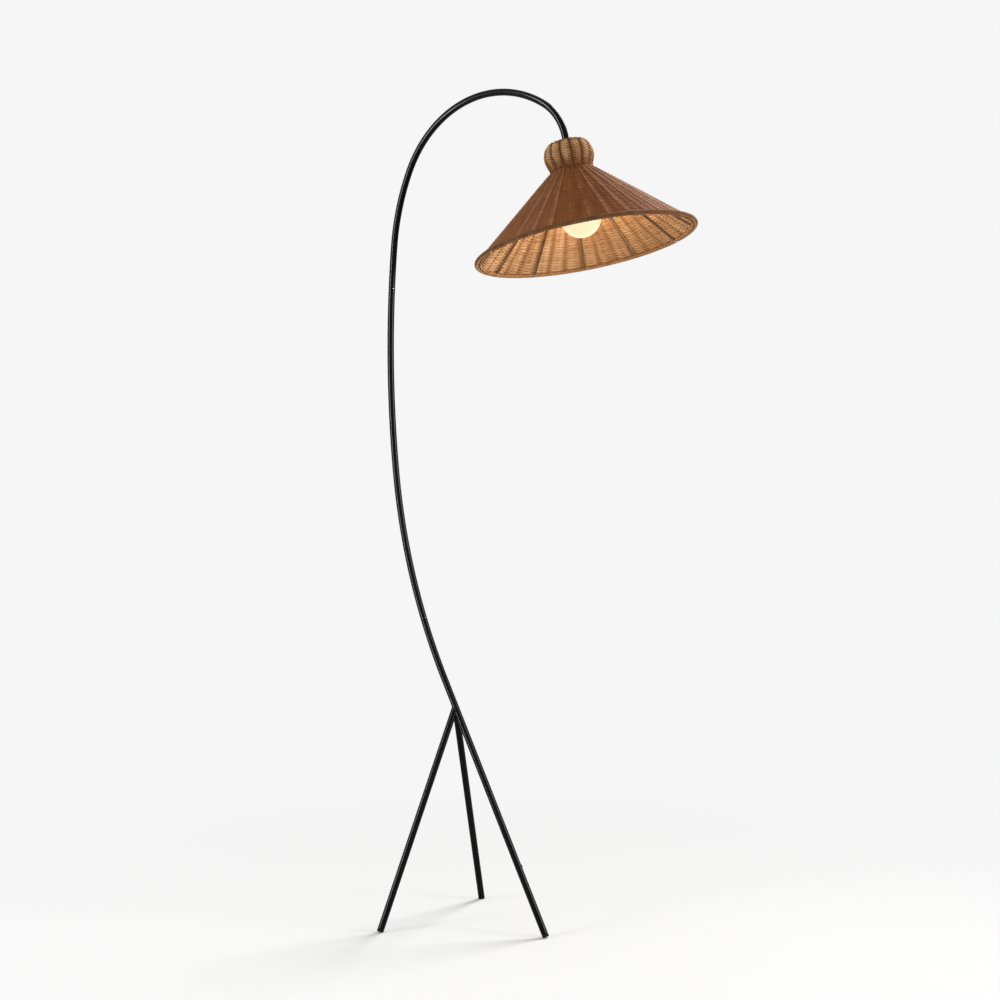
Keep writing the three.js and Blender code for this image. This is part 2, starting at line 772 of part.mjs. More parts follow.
// Three hoops and the ribs between them, welded into one cage just inside the weave. Each rib runs on
// past the lowest hoop and ends on the inner side of the rolled rim.
function wireFrame() {
  const neckSetback = weaveThickness + neckLobeDepth + seatGap;
  const coneSetback = weaveThickness + coneFluteDepth + seatGap + ribRadius;
  const waistHoopRadius = waistRadius - neckSetback - hoopRadius;
  const topHoopDepth = neckTopDepth + weaveThickness + seatGap + ribRadius;
  const rimHoopReach = rimRollRadius + hoopRadius + seatGap;
  const rimHoopOffset = coneSetback - weaveThickness / 2;
  const rimHoop = rimCentre
    .clone()
    .addScaledVector(inwards, rimHoopOffset)
    .addScaledVector(downSlope, -Math.sqrt(rimHoopReach ** 2 - rimHoopOffset ** 2));
  const ribEnd = rimCentre.clone().addScaledVector(inwards, rimHoopReach);
  const waistTurn = waistEdge.clone().addScaledVector(inwards, coneSetback);
  waistTurn.addScaledVector(downSlope, (waistHoopRadius + ribRadius - waistTurn.x) / downSlope.x);
  const underNeck = (depth) => [neckRadius(depth) - neckSetback - neckRibSlack - ribRadius, depth];
  const route = [
    [topHoopRadius, topHoopDepth],
    ...neckRibShares.map((share) => underNeck(neckTopDepth + (bulgeDepth - neckTopDepth) * share)),
    underNeck((bulgeDepth + waistDepth) / 2),
    [waistHoopRadius, waistDepth],
    waistTurn.toArray(),
    rimHoop.toArray(),
    ribEnd.toArray(),
  ].map(([radius, depth]) => new THREE.Vector3(radius, 0, -depth));
  const stations = route.map((place, i) => {
    const before = route[Math.max(i - 1, 0)];
    const after = route[Math.min(i + 1, route.length - 1)];
    return { place, direction: after.clone().sub(before).normalize() };
  });
  const rib = sweep(new StationPath(stations), frameSides, ribRadius);
  let frame = hoop(topHoopRadius, topHoopDepth, ribRadius, 2 * ribCount)
    .add(hoop(waistHoopRadius, waistDepth, hoopRadius, 2 * ribCount))
    .add(hoop(rimHoop.x, rimHoop.y, hoopRadius, 3 * ribCount));
  for (let i = 0; i < ribCount; i++) {
    const angle = radians(firstRib) + (i * fullTurn) / ribCount;
    frame = frame.add(solidOf(rib.clone().rotateZ(angle)));
  }
  return geometryOf(frame);
}

addPiece(head, "woven_top", wovenTop(), rattan);
addPiece(head, "woven_neck", wovenNeck(), rattan);
addPiece(head, "woven_cone", wovenCone(), rattan);
addPiece(head, "rim_roll", rimRoll(), rattanRim);
addPiece(head, "wire_frame", wireFrame(), darkWire);

// Bulb, measured down from the tip of its cap
const bulb = new THREE.Group();
bulb.position.z = -bulbTip;
const insulatorTop = bulbTipHeight + seatGap;
const bulbCapTop = insulatorTop + bulbInsulatorLength + seatGap;
const glassTop = bulbCapTop + bulbCapLength + seatGap;
const globeDepth = bulbLength - globeRadius;

// The outline of the glass from its neck to the bottom of the globe, a distance inside the outer face.
function glassOutline(inset) {
  const radius = globeRadius - inset;
  const start = glassFlareStart - quarterTurn;
  const [flare] = arc(0, globeDepth, radius, start, start, 1);
  const lead = globeRadius * flareLeadShare;
  const heading = radians(glassFlareStart);
  const neckEnd = glassTop + glassNeckLength;
  const neck = new THREE.CubicBezierCurve(
    new THREE.Vector2(glassNeckRadius - inset, neckEnd),
    new THREE.Vector2(glassNeckRadius - inset, neckEnd + lead),
    new THREE.Vector2(flare[0] - lead * Math.cos(heading), flare[1] - lead * Math.sin(heading)),
    new THREE.Vector2(...flare),
  );
  return [
    [glassNeckRadius - inset, glassTop],
    ...neck.getPoints(3).map((point) => point.toArray()),
    ...arc(0, globeDepth, radius, start, quarterTurn, 8).slice(1, -1),
    [0, globeDepth + radius],
  ];
}

function bulbGlass() {
  return revolve([...glassOutline(glassWall).reverse(), ...glassOutline(0)], bulbSides);
}

function bulbCap() {
  return revolve(
    [
      [bulbInsulatorTopRadius, bulbCapTop],
      [bulbCapRadius, bulbCapTop + bulbCapRadius - bulbInsulatorTopRadius],
      [bulbCapRadius, bulbCapTop + bulbCapLength],
      [bulbCapRadius - bulbCapWall, bulbCapTop + bulbCapLength],
      [bulbCapRadius - bulbCapWall, bulbCapTop + bulbCapWall],
      [bulbInsulatorTopRadius - bulbCapWall, bulbCapTop],
    ],
    bulbSides,
  );
}

function bulbInsulator() {
  return revolve(
    [
      [0, insulatorTop],
      [bulbTipRadius, insulatorTop],
      [bulbInsulatorTopRadius, insulatorTop + bulbInsulatorLength],
      [0, insulatorTop + bulbInsulatorLength],
    ],
    bulbSides,
  );
}

function bulbTipContact() {
  const edge = bulbTipHeight / 2;
  return revolve(
    [
      [0, 0],
      ...arc(bulbTipRadius - edge, edge, edge, -quarterTurn, 0, 3),
      [bulbTipRadius, bulbTipHeight],
      [0, bulbTipHeight],
    ],
    bulbSides / 2,
  );
}

addPiece(bulb, "bulb_glass", bulbGlass(), opalGlass);
addPiece(bulb, "bulb_cap", bulbCap(), nickel);
addPiece(bulb, "bulb_insulator", bulbInsulator(), blackPlastic);
addPiece(bulb, "bulb_tip", bulbTipContact(), nickel);
head.add(bulb);

// The lamp, moved so that the origin is in the middle of its box
const lamp = new THREE.Group();
lamp.add(stand, head);
const middle = new THREE.Box3().setFromObject(lamp).getCenter(new THREE.Vector3());
lamp.position.set(-middle.x, -middle.y, 0);

export default lamp;
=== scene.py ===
# %% [markdown]
# # A rattan floor lamp
# The real lamp is a bent black steel tube on three legs. It arches over and carries a woven
# rattan shade, and a globe bulb hangs in the shade. The plain solids of the lamp are already
# there: this lesson loads them, makes each piece again in finer form at the same place, and gives
# each piece its finish. Everything is in metres, with +Z up and +X towards the shade.

# %% Load the plain lamp
from contextlib import contextmanager
from functools import partialmethod
from math import atan2, ceil, copysign, cos, degrees, floor, hypot, pi, radians, sin, sqrt
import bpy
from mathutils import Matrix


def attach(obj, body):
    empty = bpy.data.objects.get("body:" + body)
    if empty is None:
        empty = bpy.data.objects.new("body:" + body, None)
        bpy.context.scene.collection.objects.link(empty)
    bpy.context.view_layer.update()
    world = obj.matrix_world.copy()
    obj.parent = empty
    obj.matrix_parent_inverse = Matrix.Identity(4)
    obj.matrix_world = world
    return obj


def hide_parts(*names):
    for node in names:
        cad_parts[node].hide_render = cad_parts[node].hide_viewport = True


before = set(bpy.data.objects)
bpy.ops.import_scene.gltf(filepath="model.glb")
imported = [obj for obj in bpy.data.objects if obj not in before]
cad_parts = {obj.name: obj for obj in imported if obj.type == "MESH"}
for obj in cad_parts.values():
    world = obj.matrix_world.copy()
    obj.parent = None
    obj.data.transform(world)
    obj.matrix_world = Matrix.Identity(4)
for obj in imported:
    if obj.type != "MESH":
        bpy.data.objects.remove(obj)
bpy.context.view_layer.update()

from types import SimpleNamespace

import bmesh
import bpy
from mathutils import Matrix, Vector

scene = bpy.context.scene


def short(place):
    return tuple(round(c, 4) for c in place)


def with_values(thing, **values):
    """Sets values of a thing by their names, and returns it."""
    for name, value in values.items():
        setattr(thing, name, value)
    return thing


def in_scene(name, data):
    """A new object in the scene round a mesh, a lamp or a camera."""
    made = bpy.data.objects.new(name, data)
    scene.collection.objects.link(made)
    return made


# %% [markdown]
# ## Camera
# The lamp is seen from a little right of its front, at about the height of its middle, with a
# long lens. A camera looks down its own -Z axis: it is turned up from the floor first, and round
# the vertical after that.

# %% Camera
eye = Vector((2.2262, -3.0442, 1.0397))
looks_along = atan2(0.799, -0.6013)
looks_down = radians(2.46)

lens = with_values(bpy.data.cameras.new("camera"), lens=67.88, sensor_width=36)
turn = (pi / 2 - looks_down, 0, looks_along - pi / 2)
camera = with_values(in_scene("camera", lens), location=eye, rotation_euler=turn)
scene.camera = camera
scene.view_settings.view_transform = "Standard"
print("camera at", short(eye), "with a lens of", round(lens.lens, 2), "mm")

# %% [markdown]
# ## Formulas as nodes
# Both geometry and finishes are node trees here. A formula of ten Math nodes is hard to read when
# each node takes three lines, so a small class stands for a value in a tree: adding or
# multiplying two of them adds the Math node and its links.

# %% One node, and values that add up
def fill(node, *inputs, **named):
    """Fills inputs of a node, in order or by name. An underscore in a name stands for a space."""
    sockets = [node.inputs[name.replace("_", " ")] for name in named]
    for socket, value in [*zip(node.inputs, inputs), *zip(sockets, named.values())]:
        if isinstance(value, Field):
            node.id_data.links.new(value.socket, socket)
        elif value is not None:
            socket.default_value = value


def add_node(tree, kind, *inputs, **values):
    """Adds a node. A name with a capital is one of its inputs, and one without is a setting."""
    settings = {name: values.pop(name) for name in list(values) if name.islower()}
    made = with_values(tree.nodes.new(kind), **settings)
    fill(made, *inputs, **values)
    return made


def field(tree, kind, *inputs, output=0, **values):
    """Adds a node and returns one of its outputs as a value to go on with."""
    return Field(tree, add_node(tree, kind, *inputs, **values).outputs[output])


class Field:
    """A value that runs through a node tree."""

    def __init__(self, tree, socket):
        self.tree = tree
        self.socket = socket

    def maths(self, operation, *others):
        return field(self.tree, "ShaderNodeMath", self, *others, operation=operation)

    __add__ = partialmethod(maths, "ADD")
    __sub__ = partialmethod(maths, "SUBTRACT")
    __mul__ = partialmethod(maths, "MULTIPLY")
    __truediv__ = partialmethod(maths, "DIVIDE")
    cos = partialmethod(maths, "COSINE")
    sin = partialmethod(maths, "SINE")

    def __rsub__(self, other):
        return self * -1 + other


# %% Vectors, noise and mapped values
def vector(tree, x, y, z):
    return field(tree, "ShaderNodeCombineXYZ", x, y, z)


def parts(place):
    made = add_node(place.tree, "ShaderNodeSeparateXYZ", place)
    return [Field(place.tree, output) for output in made.outputs]


def measured(operation, *places):
    return field(places[0].tree, "ShaderNodeVectorMath", *places, output="Value", operation=operation)


def noise(where, scale, detail=2.0, roughness=0.5):
    values = dict(Scale=scale, Detail=detail, Roughness=roughness)
    return field(where.tree, "ShaderNodeTexNoise", where, **values)


def dice(where):
    """A random value from 0 to 1 for each whole place."""
    return field(where.tree, "ShaderNodeTexWhiteNoise", where)


def mapped(value, low, high, to_low=0.0, to_high=1.0):
    """Carries the stretch from low to high over to another stretch, and stops at its ends."""
    return field(value.tree, "ShaderNodeMapRange", value, low, high, to_low, to_high)


# %% [markdown]
# ## Floor, backdrop and light
# One broad sun from behind on the right throws the soft shadows at the feet. A softbox on each
# side lights the shade and reaches in under its rim, and an even pale sky fills in. Two panels
# draw the long grey lines of gloss down the black tube. They are hidden from diffuse rays, so
# they light nothing. The floor shows a pale colour of its own, so that it runs into the backdrop
# without an edge, and only the part near the lamp is a lit surface that takes shadows.

# %% Sky
BACKDROP = 0.922
FILL = 0.46


def seen_ray(tree):
    """1 for what the camera, a reflection or a clear glass sees, and 0 for what lights the lamp."""
    kinds = ("Camera", "Glossy", "Transmission")
    seen, glossy, clear = (field(tree, "ShaderNodeLightPath", output=f"Is {kind} Ray") for kind in kinds)
    return seen.maths("MAXIMUM", glossy).maths("MAXIMUM", clear)


world = bpy.data.worlds.new("pale studio")
world.use_nodes = True
scene.world = world
sky = world.node_tree
fill(sky.nodes["Background"], Color=(1, 1, 1, 1), Strength=mapped(seen_ray(sky), 0, 1, FILL, BACKDROP))
print("sky: lights with", FILL, "and shows as", BACKDROP)

# %% Floor
FLOOR_COLOUR = 0.66
FLOOR_REACH = 60.0
LIT_AS_FAR_AS, FADED_BY = 0.6, 1.5
GLOW_NEAR, GLOW_FAR = 0.065, 0.45

floor_mesh = bpy.data.meshes.new("floor")
corners = [(x * FLOOR_REACH, y * FLOOR_REACH, 0) for x, y in ((-1, -1), (1, -1), (1, 1), (-1, 1))]
floor_mesh.from_pydata(corners, [], [(0, 1, 2, 3)])
in_scene("floor", floor_mesh)

floor_finish = bpy.data.materials.new("pale floor")
floor_finish.use_nodes = True
floor_finish.cycles.emission_sampling = "NONE"
floor_mesh.materials.append(floor_finish)
ground = floor_finish.node_tree
ground.nodes.remove(ground.nodes["Principled BSDF"])
place = field(ground, "ShaderNodeTexCoord", output="Object")
nearby = mapped(measured("LENGTH", place), LIT_AS_FAR_AS, FADED_BY, 1, 0)
lit = field(ground, "ShaderNodeBsdfDiffuse", Color=(FLOOR_COLOUR,) * 3 + (1,))
near_glow, far_glow = (field(ground, "ShaderNodeEmission", Strength=mapped(seen_ray(ground), 0, 1, *glow))
                       for glow in ((0, GLOW_NEAR), (GLOW_FAR, BACKDROP)))
near_floor = field(ground, "ShaderNodeAddShader", lit, near_glow)
fill(ground.nodes["Material Output"], field(ground, "ShaderNodeMixShader", nearby, far_glow, near_floor))
print("floor: takes shadows as far as", LIT_AS_FAR_AS, "m from the middle")

# %% Lamps of the studio
def studio_lamp(name, kind, place, target, **values):
    lamp = in_scene(name, with_values(bpy.data.lights.new(name, kind), **values))
    way = Vector(target) - Vector(place)
    return with_values(lamp, location=place, rotation_euler=way.to_track_quat("-Z", "Y").to_euler())


def softbox(name, place, target, energy, width, height):
    size = dict(shape="RECTANGLE", size=width, size_y=height)
    return studio_lamp(name, "AREA", place, target, energy=energy, **size)


studio_lamp("broad sun", "SUN", (0.27, 3.2, 2.67), (0, 0, 0), energy=3.1, angle=radians(25))
softbox("right softbox", (2.45, 0.9, 1.1), (0.1, 0, 1.4), 34, 0.7, 1.6)
softbox("left softbox", (-1.4, -2.6, 1.6), (0.1, 0, 1.3), 31, 0.8, 1.6)
for panel in (softbox("left gloss panel", (-1.3, -2.7, 1.8), (0, 0, 1.3), 290, 0.34, 4.0),
              softbox("right gloss panel", (2.6, 0.6, 1.0), (0, 0, 0.8), 160, 0.8, 3.0)):
    panel.visible_diffuse = False

# %% [markdown]
# ## Finishes
# Each finish is a Principled shader with the small unevenness of the real surface: orange peel in
# the paint, brushed lines on turned metal, fibres along the rattan. What is the same all over is
# set on the shader itself, and noise on Object coordinates does the rest.

# %% A finish to start from
finishes = {}


def new_finish(name, **sockets):
    material = bpy.data.materials.new(name.replace("_", " "))
    material.use_nodes = True
    shader = material.node_tree.nodes["Principled BSDF"]
    fill(shader, **sockets)
    finishes[name] = material
    print("finish:", name)
    return shader, field(material.node_tree, "ShaderNodeTexCoord", output="Object")


def ramp(value, first, second, low=0.3, high=0.7):
    """One colour up to a low value, another from a high value on, and a blend between them."""
    made = add_node(value.tree, "ShaderNodeValToRGB", value)
    for stop, position, colour in zip(made.color_ramp.elements, (low, high), (first, second)):
        stop.position = position
        stop.color = (*colour, 1)
    return Field(value.tree, made.outputs[0])


def mixed(share, first, second):
    # the two colours are inputs 6 and 7 of this node
    return field(share.tree, "ShaderNodeMix", share, *[None] * 5, first, second, output=2, data_type="RGBA")


def bump(height, depth):
    return field(height.tree, "ShaderNodeBump", Height=height, Distance=depth)


# %% Black paint, rubber and plastic
def black_finish(name, low, high, rough, grain, depth, gloss):
    shader, place = new_finish(name, Specular_IOR_Level=gloss)
    speckle = noise(place, grain, 3)
    cloud = noise(place, 9, 3)
    fill(shader, Base_Color=ramp(cloud, (low,) * 3, (high,) * 3), Normal=bump(speckle, depth),
         Roughness=mapped(cloud * 0.5 + speckle * 0.5, 0.3, 0.7, *rough))


black_finish("black_paint", 0.0008, 0.002, (0.14, 0.22), 600, 0.00001, 0.085)
black_finish("black_rubber", 0.004, 0.008, (0.62, 0.78), 1500, 0.0001, 0.06)
black_finish("black_plastic", 0.011, 0.016, (0.3, 0.42), 700, 0.00003, 0.45)

# %% Metals and ceramic
def turned_metal(name, dull, bright, rough):
    shader, place = new_finish(name, Metallic=1.0)
    x, y, z = parts(place)
    lines = noise(vector(place.tree, x * 0.05, y * 0.05, z), 2400, 2)
    cloud = noise(place, 60, 3)
    fill(shader, Base_Color=ramp(cloud, dull, bright, 0.35, 0.65), Normal=bump(lines, 0.00002),
         Roughness=mapped(lines * 0.6 + cloud * 0.4, 0.3, 0.7, *rough))


turned_metal("zinc_steel", (0.42, 0.43, 0.44), (0.56, 0.57, 0.58), (0.3, 0.45))
turned_metal("brass", (0.56, 0.38, 0.14), (0.68, 0.48, 0.2), (0.26, 0.4))
turned_metal("nickel", (0.58, 0.56, 0.52), (0.7, 0.69, 0.66), (0.2, 0.32))

shader, place = new_finish("white_ceramic", Coat_Weight=0.4, Coat_Roughness=0.15)
pores = noise(place, 900, 3)
fill(shader, Base_Color=ramp(noise(place, 40), (0.7, 0.67, 0.6), (0.8, 0.78, 0.72)),
     Roughness=mapped(pores, 0.3, 0.7, 0.3, 0.5), Normal=bump(pores, 0.00004))

# %% [markdown]
# The ribs of the shade are steel wire, which shines through a thin dark brown lacquer. The lacquer
# pools and thins along the wire, so its brown and its gloss change a little.

# %% Lacquered wire
shader, place = new_finish("frame_wire", Metallic=0.65, Specular_IOR_Level=0.1)
cloud = noise(place, 70, 3)
fill(shader, Base_Color=ramp(cloud, (0.13, 0.066, 0.03), (0.25, 0.142, 0.07)),
     Roughness=mapped(cloud, 0.3, 0.7, 0.26, 0.38), Normal=bump(noise(place, 500), 0.00005))

# %% [markdown]
# Rattan is the finish that matters most. Each strand has its own tone, and fine fibres run along it.
# The outside of the shade is darker than the inside: partly a stain, and partly painted light, as
# the inside is painted paler as if lit by the bulb. The ridges are lighter: partly wear, partly a
# painted highlight. The weave stores what the finish needs on its mesh: the tone of the strand, how
# far a face looks out of the shade, its wave, how close it is to a ridge, how deep in a groove, and
# a place along the strand. Of the colours below, the first two are the darkest and the palest, and
# a third is the painted shade in the hollows.

# %% Rattan
def rattan_finish(name, outer, crest, inner):
    shader, place = new_finish(name, Specular_IOR_Level=0.06)
    tree = place.tree

    def stored(label, output="Fac"):
        return field(tree, "ShaderNodeAttribute", output=output, attribute_name=label)

    facing, ridge = stored("facing"), stored("ridge")
    x, y, row = parts(stored("along", "Vector"))
    fibres = noise(vector(tree, x * 22, y * 22, row * 3.7 + facing * 2.5), 1.0, 3, 0.6)
    # vertical bands round the shade: random tone, and painted shade of the stakes and the sag of the weave
    # between them
    tone_and_stake_shade = noise(vector(tree, x * 12, y * 12, row * 0.04), 1.0, 2, 0.6)
    shade = stored("tone") * 0.3 + fibres * 0.3 + tone_and_stake_shade * 0.8 - 0.2
    outside, worn_and_highlit, inside = (ramp(shade, dark, pale, 0.25, 0.75) for dark, pale, *_ in (outer, crest, inner))
    # lighter on the ridges: partly wear, partly a painted highlight
    rubbed_and_highlit = ridge.maths("POWER", 1.8) * mapped(noise(place, 60), 0.35, 0.6, 0.5, 1)
    # inside and outside colours: partly a stain outside, partly painted light, the inside paler as if lit by
    # the bulb
    side = mapped(facing, -0.25, 0.25)
    colour = mixed(side, inside, mixed(rubbed_and_highlit, outside, worn_and_highlit))
    # painted shade in the hollows: darker on the flanks of a strand, and where it dives behind a stake
    least = mapped(facing, -0.1, 0.1, 0.82, 0.6)
    flank_shade = mapped(facing.maths("ABSOLUTE"), 0.15, 0.8, least, 1)
    dive_shade = mapped(facing * stored("wave"), -0.9, 0.3, least, 1)
    shade_in_hollows = mixed(side, (*inner[2], 1), (*outer[2], 1))
    fill(shader, Base_Color=mixed(flank_shade * dive_shade * (1 - stored("groove")), shade_in_hollows, colour),
         Roughness=mapped(fibres, 0.3, 0.7, 0.42, 0.6), Normal=bump(fibres, 0.00012))


# The inner colours are painted paler than the outer ones, partly as the light of the bulb. The crest colours
# are partly wear and partly a painted highlight.
rattan_finish("rattan",
              ((0.19, 0.055, 0.011), (0.312, 0.105, 0.026), (0.052, 0.014, 0.004)),
              ((0.56, 0.29, 0.115), (0.8, 0.48, 0.235)),
              ((0.32, 0.142, 0.052), (0.72, 0.44, 0.232), (0.18, 0.07, 0.023)))
# Inside the shade the stakes are painted darker than the weave: painted shade where they show between the
# rows.
stake_brown = ((0.16, 0.05, 0.013), (0.26, 0.09, 0.027))
rattan_finish("rattan_stake", (*stake_brown, (0.048, 0.014, 0.004)), stake_brown,
              ((0.21, 0.09, 0.034), (0.34, 0.165, 0.07), (0.12, 0.048, 0.017)))
# The rope of the rim is dark outside and pale inside: partly a stain, partly painted shade on its outer side
# and painted light on its inner side.
rattan_finish("rattan_rim",
              ((0.15, 0.054, 0.016), (0.27, 0.115, 0.042), (0.018, 0.005, 0.001)),
              ((0.24, 0.102, 0.036), (0.44, 0.225, 0.098)),
              ((0.38, 0.18, 0.07), (0.64, 0.36, 0.17), (0.07, 0.026, 0.008)))

# %% [markdown]
# The globe is opal glass round a lit filament, so it shows one even warm white. Its glow is held
# just under full white, and a lamp inside it, which its glass doesn't shade, lights the weave.

# %% Opal glass
shader, place = new_finish("opal_glass", Roughness=0.3, Specular_IOR_Level=0.12, Emission_Strength=0.88)
fill(shader, Base_Color=ramp(noise(place, 30), (0.16, 0.15, 0.12), (0.18, 0.17, 0.14)),
     Emission_Color=ramp(noise(place, 22), (1.0, 0.885, 0.525), (1.0, 0.905, 0.56)))

# %% [markdown]
# ## Turned and swept shapes
# Two helpers make most of the plain pieces. One turns an outline of (radius, depth) points about
# the Z axis, with depth measured down. The other runs a round section along a line of points,
# carrying its frame along so that the section doesn't twist.

# %% Closed meshes from points and faces
@contextmanager
def opened(mesh):
    """A mesh opened for editing. What was changed is written back at the end."""
    work = bmesh.new()
    work.from_mesh(mesh)
    yield work
    work.to_mesh(mesh)
    work.free()


def shaded(mesh, sharp=35):
    mesh.shade_smooth()
    mesh.set_sharp_from_angle(angle=radians(sharp))
    return mesh


def closed_mesh(places, faces, sharp=35):
    mesh = bpy.data.meshes.new("shape")
    mesh.from_pydata(places, [], faces)
    with opened(mesh) as work:
        bmesh.ops.remove_doubles(work, verts=work.verts, dist=1e-6)
        bmesh.ops.recalc_face_normals(work, faces=work.faces)
    return shaded(mesh, sharp)


def turns(count):
    """Even angles, once round."""
    return [2 * pi * i / count for i in range(count)]


def bands(rings, sides, closed):
    """The faces between rings of points that follow each other, and back to the first if closed."""
    faces = []
    for row in range(rings if closed else rings - 1):
        low, high = row * sides, (row + 1) % rings * sides
        faces += [(low + k, low + (k + 1) % sides, high + (k + 1) % sides, high + k) for k in range(sides)]
    return faces


# %% Turn an outline
def ring(inner, outer, top, end):
    """The outline of a plain ring, or of a disc where the inner radius is 0."""
    return [(inner, top), (outer, top), (outer, end), (inner, end)]


def arc(radius, depth, size, start, end, steps):
    """Points of an arc of a size about (radius, depth), between two angles in degrees."""
    angles = [radians(start + (end - start) * i / steps) for i in range(steps + 1)]
    return [(radius + size * cos(a), depth + size * sin(a)) for a in angles]


def softened(outline, size, steps=3):
    """Rounds each corner of an outline that doesn't lie on the axis."""
    points = [Vector(p) for p in outline]
    rounded = []
    for i, corner in enumerate(points):
        before = points[i - 1] - corner
        after = points[(i + 1) % len(points)] - corner
        reach = min(size, before.length * 0.45, after.length * 0.45)
        if corner.x < 1e-9 or before.angle(-after, 0) < radians(15):
            rounded.append(tuple(corner))
            continue
        start, end = corner + before.normalized() * reach, corner + after.normalized() * reach
        for step in range(steps + 1):
            t = step / steps
            rounded.append(tuple(start * (1 - t) ** 2 + corner * 2 * t * (1 - t) + end * t ** 2))
    return rounded


def turned(outline, sides=64, sharp=35):
    places, rows = [], []
    for radius, depth in outline:
        count = sides if radius > 1e-9 else 1
        rows.append(range(len(places), len(places) + count))
        places += [(radius * cos(a), radius * sin(a), -depth) for a in turns(count)]
    on_axis = len(rows[0]) == 1 and len(rows[-1]) == 1
    faces = []
    for upper, lower in zip(rows, rows[1:] if on_axis else rows[1:] + rows[:1]):
        for i in range(sides):
            j = (i + 1) % sides
            quad = ((upper, i), (upper, j), (lower, j), (lower, i))
            corners = dict.fromkeys(row[k % len(row)] for row, k in quad)
            if len(corners) > 2:
                faces.append([*corners])
    return closed_mesh(places, faces, sharp)


# %% Sweep a round section
def swept(line, radius, sides=32, closed=False, first_side=None):
    line = [Vector(p) for p in line]
    count = len(line)
    radii = radius if isinstance(radius, list) else [radius] * count
    ways = []
    for i in range(count):
        before = line[i - 1] if closed or i else line[i]
        after = line[(i + 1) % count] if closed or i < count - 1 else line[i]
        ways.append((after - before).normalized())
    side = Vector(first_side) if first_side else ways[0].orthogonal()
    places = []
    for place, way, size in zip(line, ways, radii):
        side = (side - way * side.dot(way)).normalized()
        other = way.cross(side)
        places += [place + size * (side * cos(a) + other * sin(a)) for a in turns(sides)]
    faces = bands(count, sides, closed)
    if not closed:
        faces += [tuple(range(sides)), tuple(range((count - 1) * sides, count * sides))]
    return closed_mesh(places, faces)


# %% Modify, cut and dress
def evaluated(holder):
    """The mesh of an object after its modifiers. The object itself goes."""
    made = bpy.data.meshes.new_from_object(holder.evaluated_get(bpy.context.evaluated_depsgraph_get()))
    bpy.data.objects.remove(holder)
    return made


def modified(mesh, kind, **settings):
    blank = in_scene("blank", mesh)
    with_values(blank.modifiers.new(kind.lower(), kind), **settings)
    return shaded(evaluated(blank))


def cut(mesh, tool, operation="DIFFERENCE"):
    helper = in_scene("tool", tool)
    made = modified(mesh, "BOOLEAN", object=helper, operation=operation, solver="EXACT")
    bpy.data.objects.remove(helper)
    return made


def painted(mesh, finish):
    mesh.materials.clear()
    mesh.materials.append(finishes[finish])


def dress(name, mesh, finish, *nodes, body="lamp", sits=None, slot=None):
    """Puts a finished mesh in the scene in place of the plain pieces, on the body that carries it."""
    if sits:
        mesh.transform(sits)
    mesh.name = name
    painted(mesh, finish)
    piece = in_scene(name, mesh)
    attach(piece, body)
    if nodes:
        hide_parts(*nodes)
    print(f"{name}: {len(mesh.polygons)} faces")
    return piece


# %% [markdown]
# ## The pole
# The pole is one 14 mm tube in three lengths. From the foot it runs up straight, and then five
# bends follow each other, each an arc that starts in the direction in which the last one ended.
# A place on it is found by walking along the runs, and the tube is swept through such places.

# %% The line of the pole
tube_radius = 0.007
tube_wall = 0.0015
fit = 0.0003
in_tube = tube_radius - tube_wall - fit
front_lean = radians(27.48)
shade_tilt = radians(13.11)
tube_in_neck = 0.038
foot_x = 0.05150285
straight_run = 0.5643
bends = [(1.2186, 21.1), (2.298, 11.85), (0.4648, 19.66), (0.2425, 96.11)]
crook_radius = 0.1108
crook_turn = 180 + degrees(front_lean - shade_tilt) - sum(turn for _, turn in bends)
arcs = [(radius * radians(turn), radius) for radius, turn in bends + [(crook_radius, crook_turn)]]
runs = [(straight_run, 0), *arcs, (tube_in_neck, 0)]
pole_length = sum(length for length, _ in runs)


def pole_at(distance):
    """Place and direction on the middle line of the pole, at a distance from the floor along it."""
    heading, x, z = pi / 2 + front_lean, foot_x, 0.0
    for length, radius in runs:
        step = min(distance, length)
        if radius:
            turn = step / radius
            x += radius * (sin(heading) - sin(heading - turn))
            z += radius * (cos(heading - turn) - cos(heading))
            heading -= turn
        else:
            x += step * cos(heading)
            z += step * sin(heading)
        distance -= step
    return Vector((x, 0, z)), Vector((cos(heading), 0, sin(heading)))


def stations(start, end, spacing=0.008):
    """Distances from start to end, closer than a spacing, with one where each bend begins."""
    marks = [start, end]
    reach = 0.0
    for length, radius in runs:
        low, high = max(start, reach), min(end, reach + length)
        if high > low:
            steps = ceil((high - low) / spacing) if radius else 1
            marks += [low + (high - low) * i / steps for i in range(steps + 1)]
        reach += length
    return sorted({round(mark, 7) for mark in marks})


print(f"pole: {pole_length:.3f} m along its middle line, crook turns {crook_turn:.2f} degrees")

# %% Three lengths of tube
joints = (0.7, 1.4)
edge = 0.0004
foot_head, foot_stem = 0.006, 0.018
foot_round, foot_flat = 0.002, 0.0011


def foot_start(lean):
    """How far up its leg the lower face of a foot lies, so that the floor cuts its edge off flat."""
    reach = sin(lean) * (tube_radius - foot_round) + foot_round
    return (reach - foot_flat) / cos(lean) - foot_round


def pole_tube(start, end):
    """A length of the pole with its two ends broken a little at the edge."""
    first, *middle, last = stations(start, end)
    marks = [first, start + edge, *middle, end - edge, last]
    radii = [tube_radius - edge, *[tube_radius] * (len(marks) - 2), tube_radius - edge]
    return swept([pole_at(mark)[0] for mark in marks], radii, 48, first_side=(0, 1, 0))


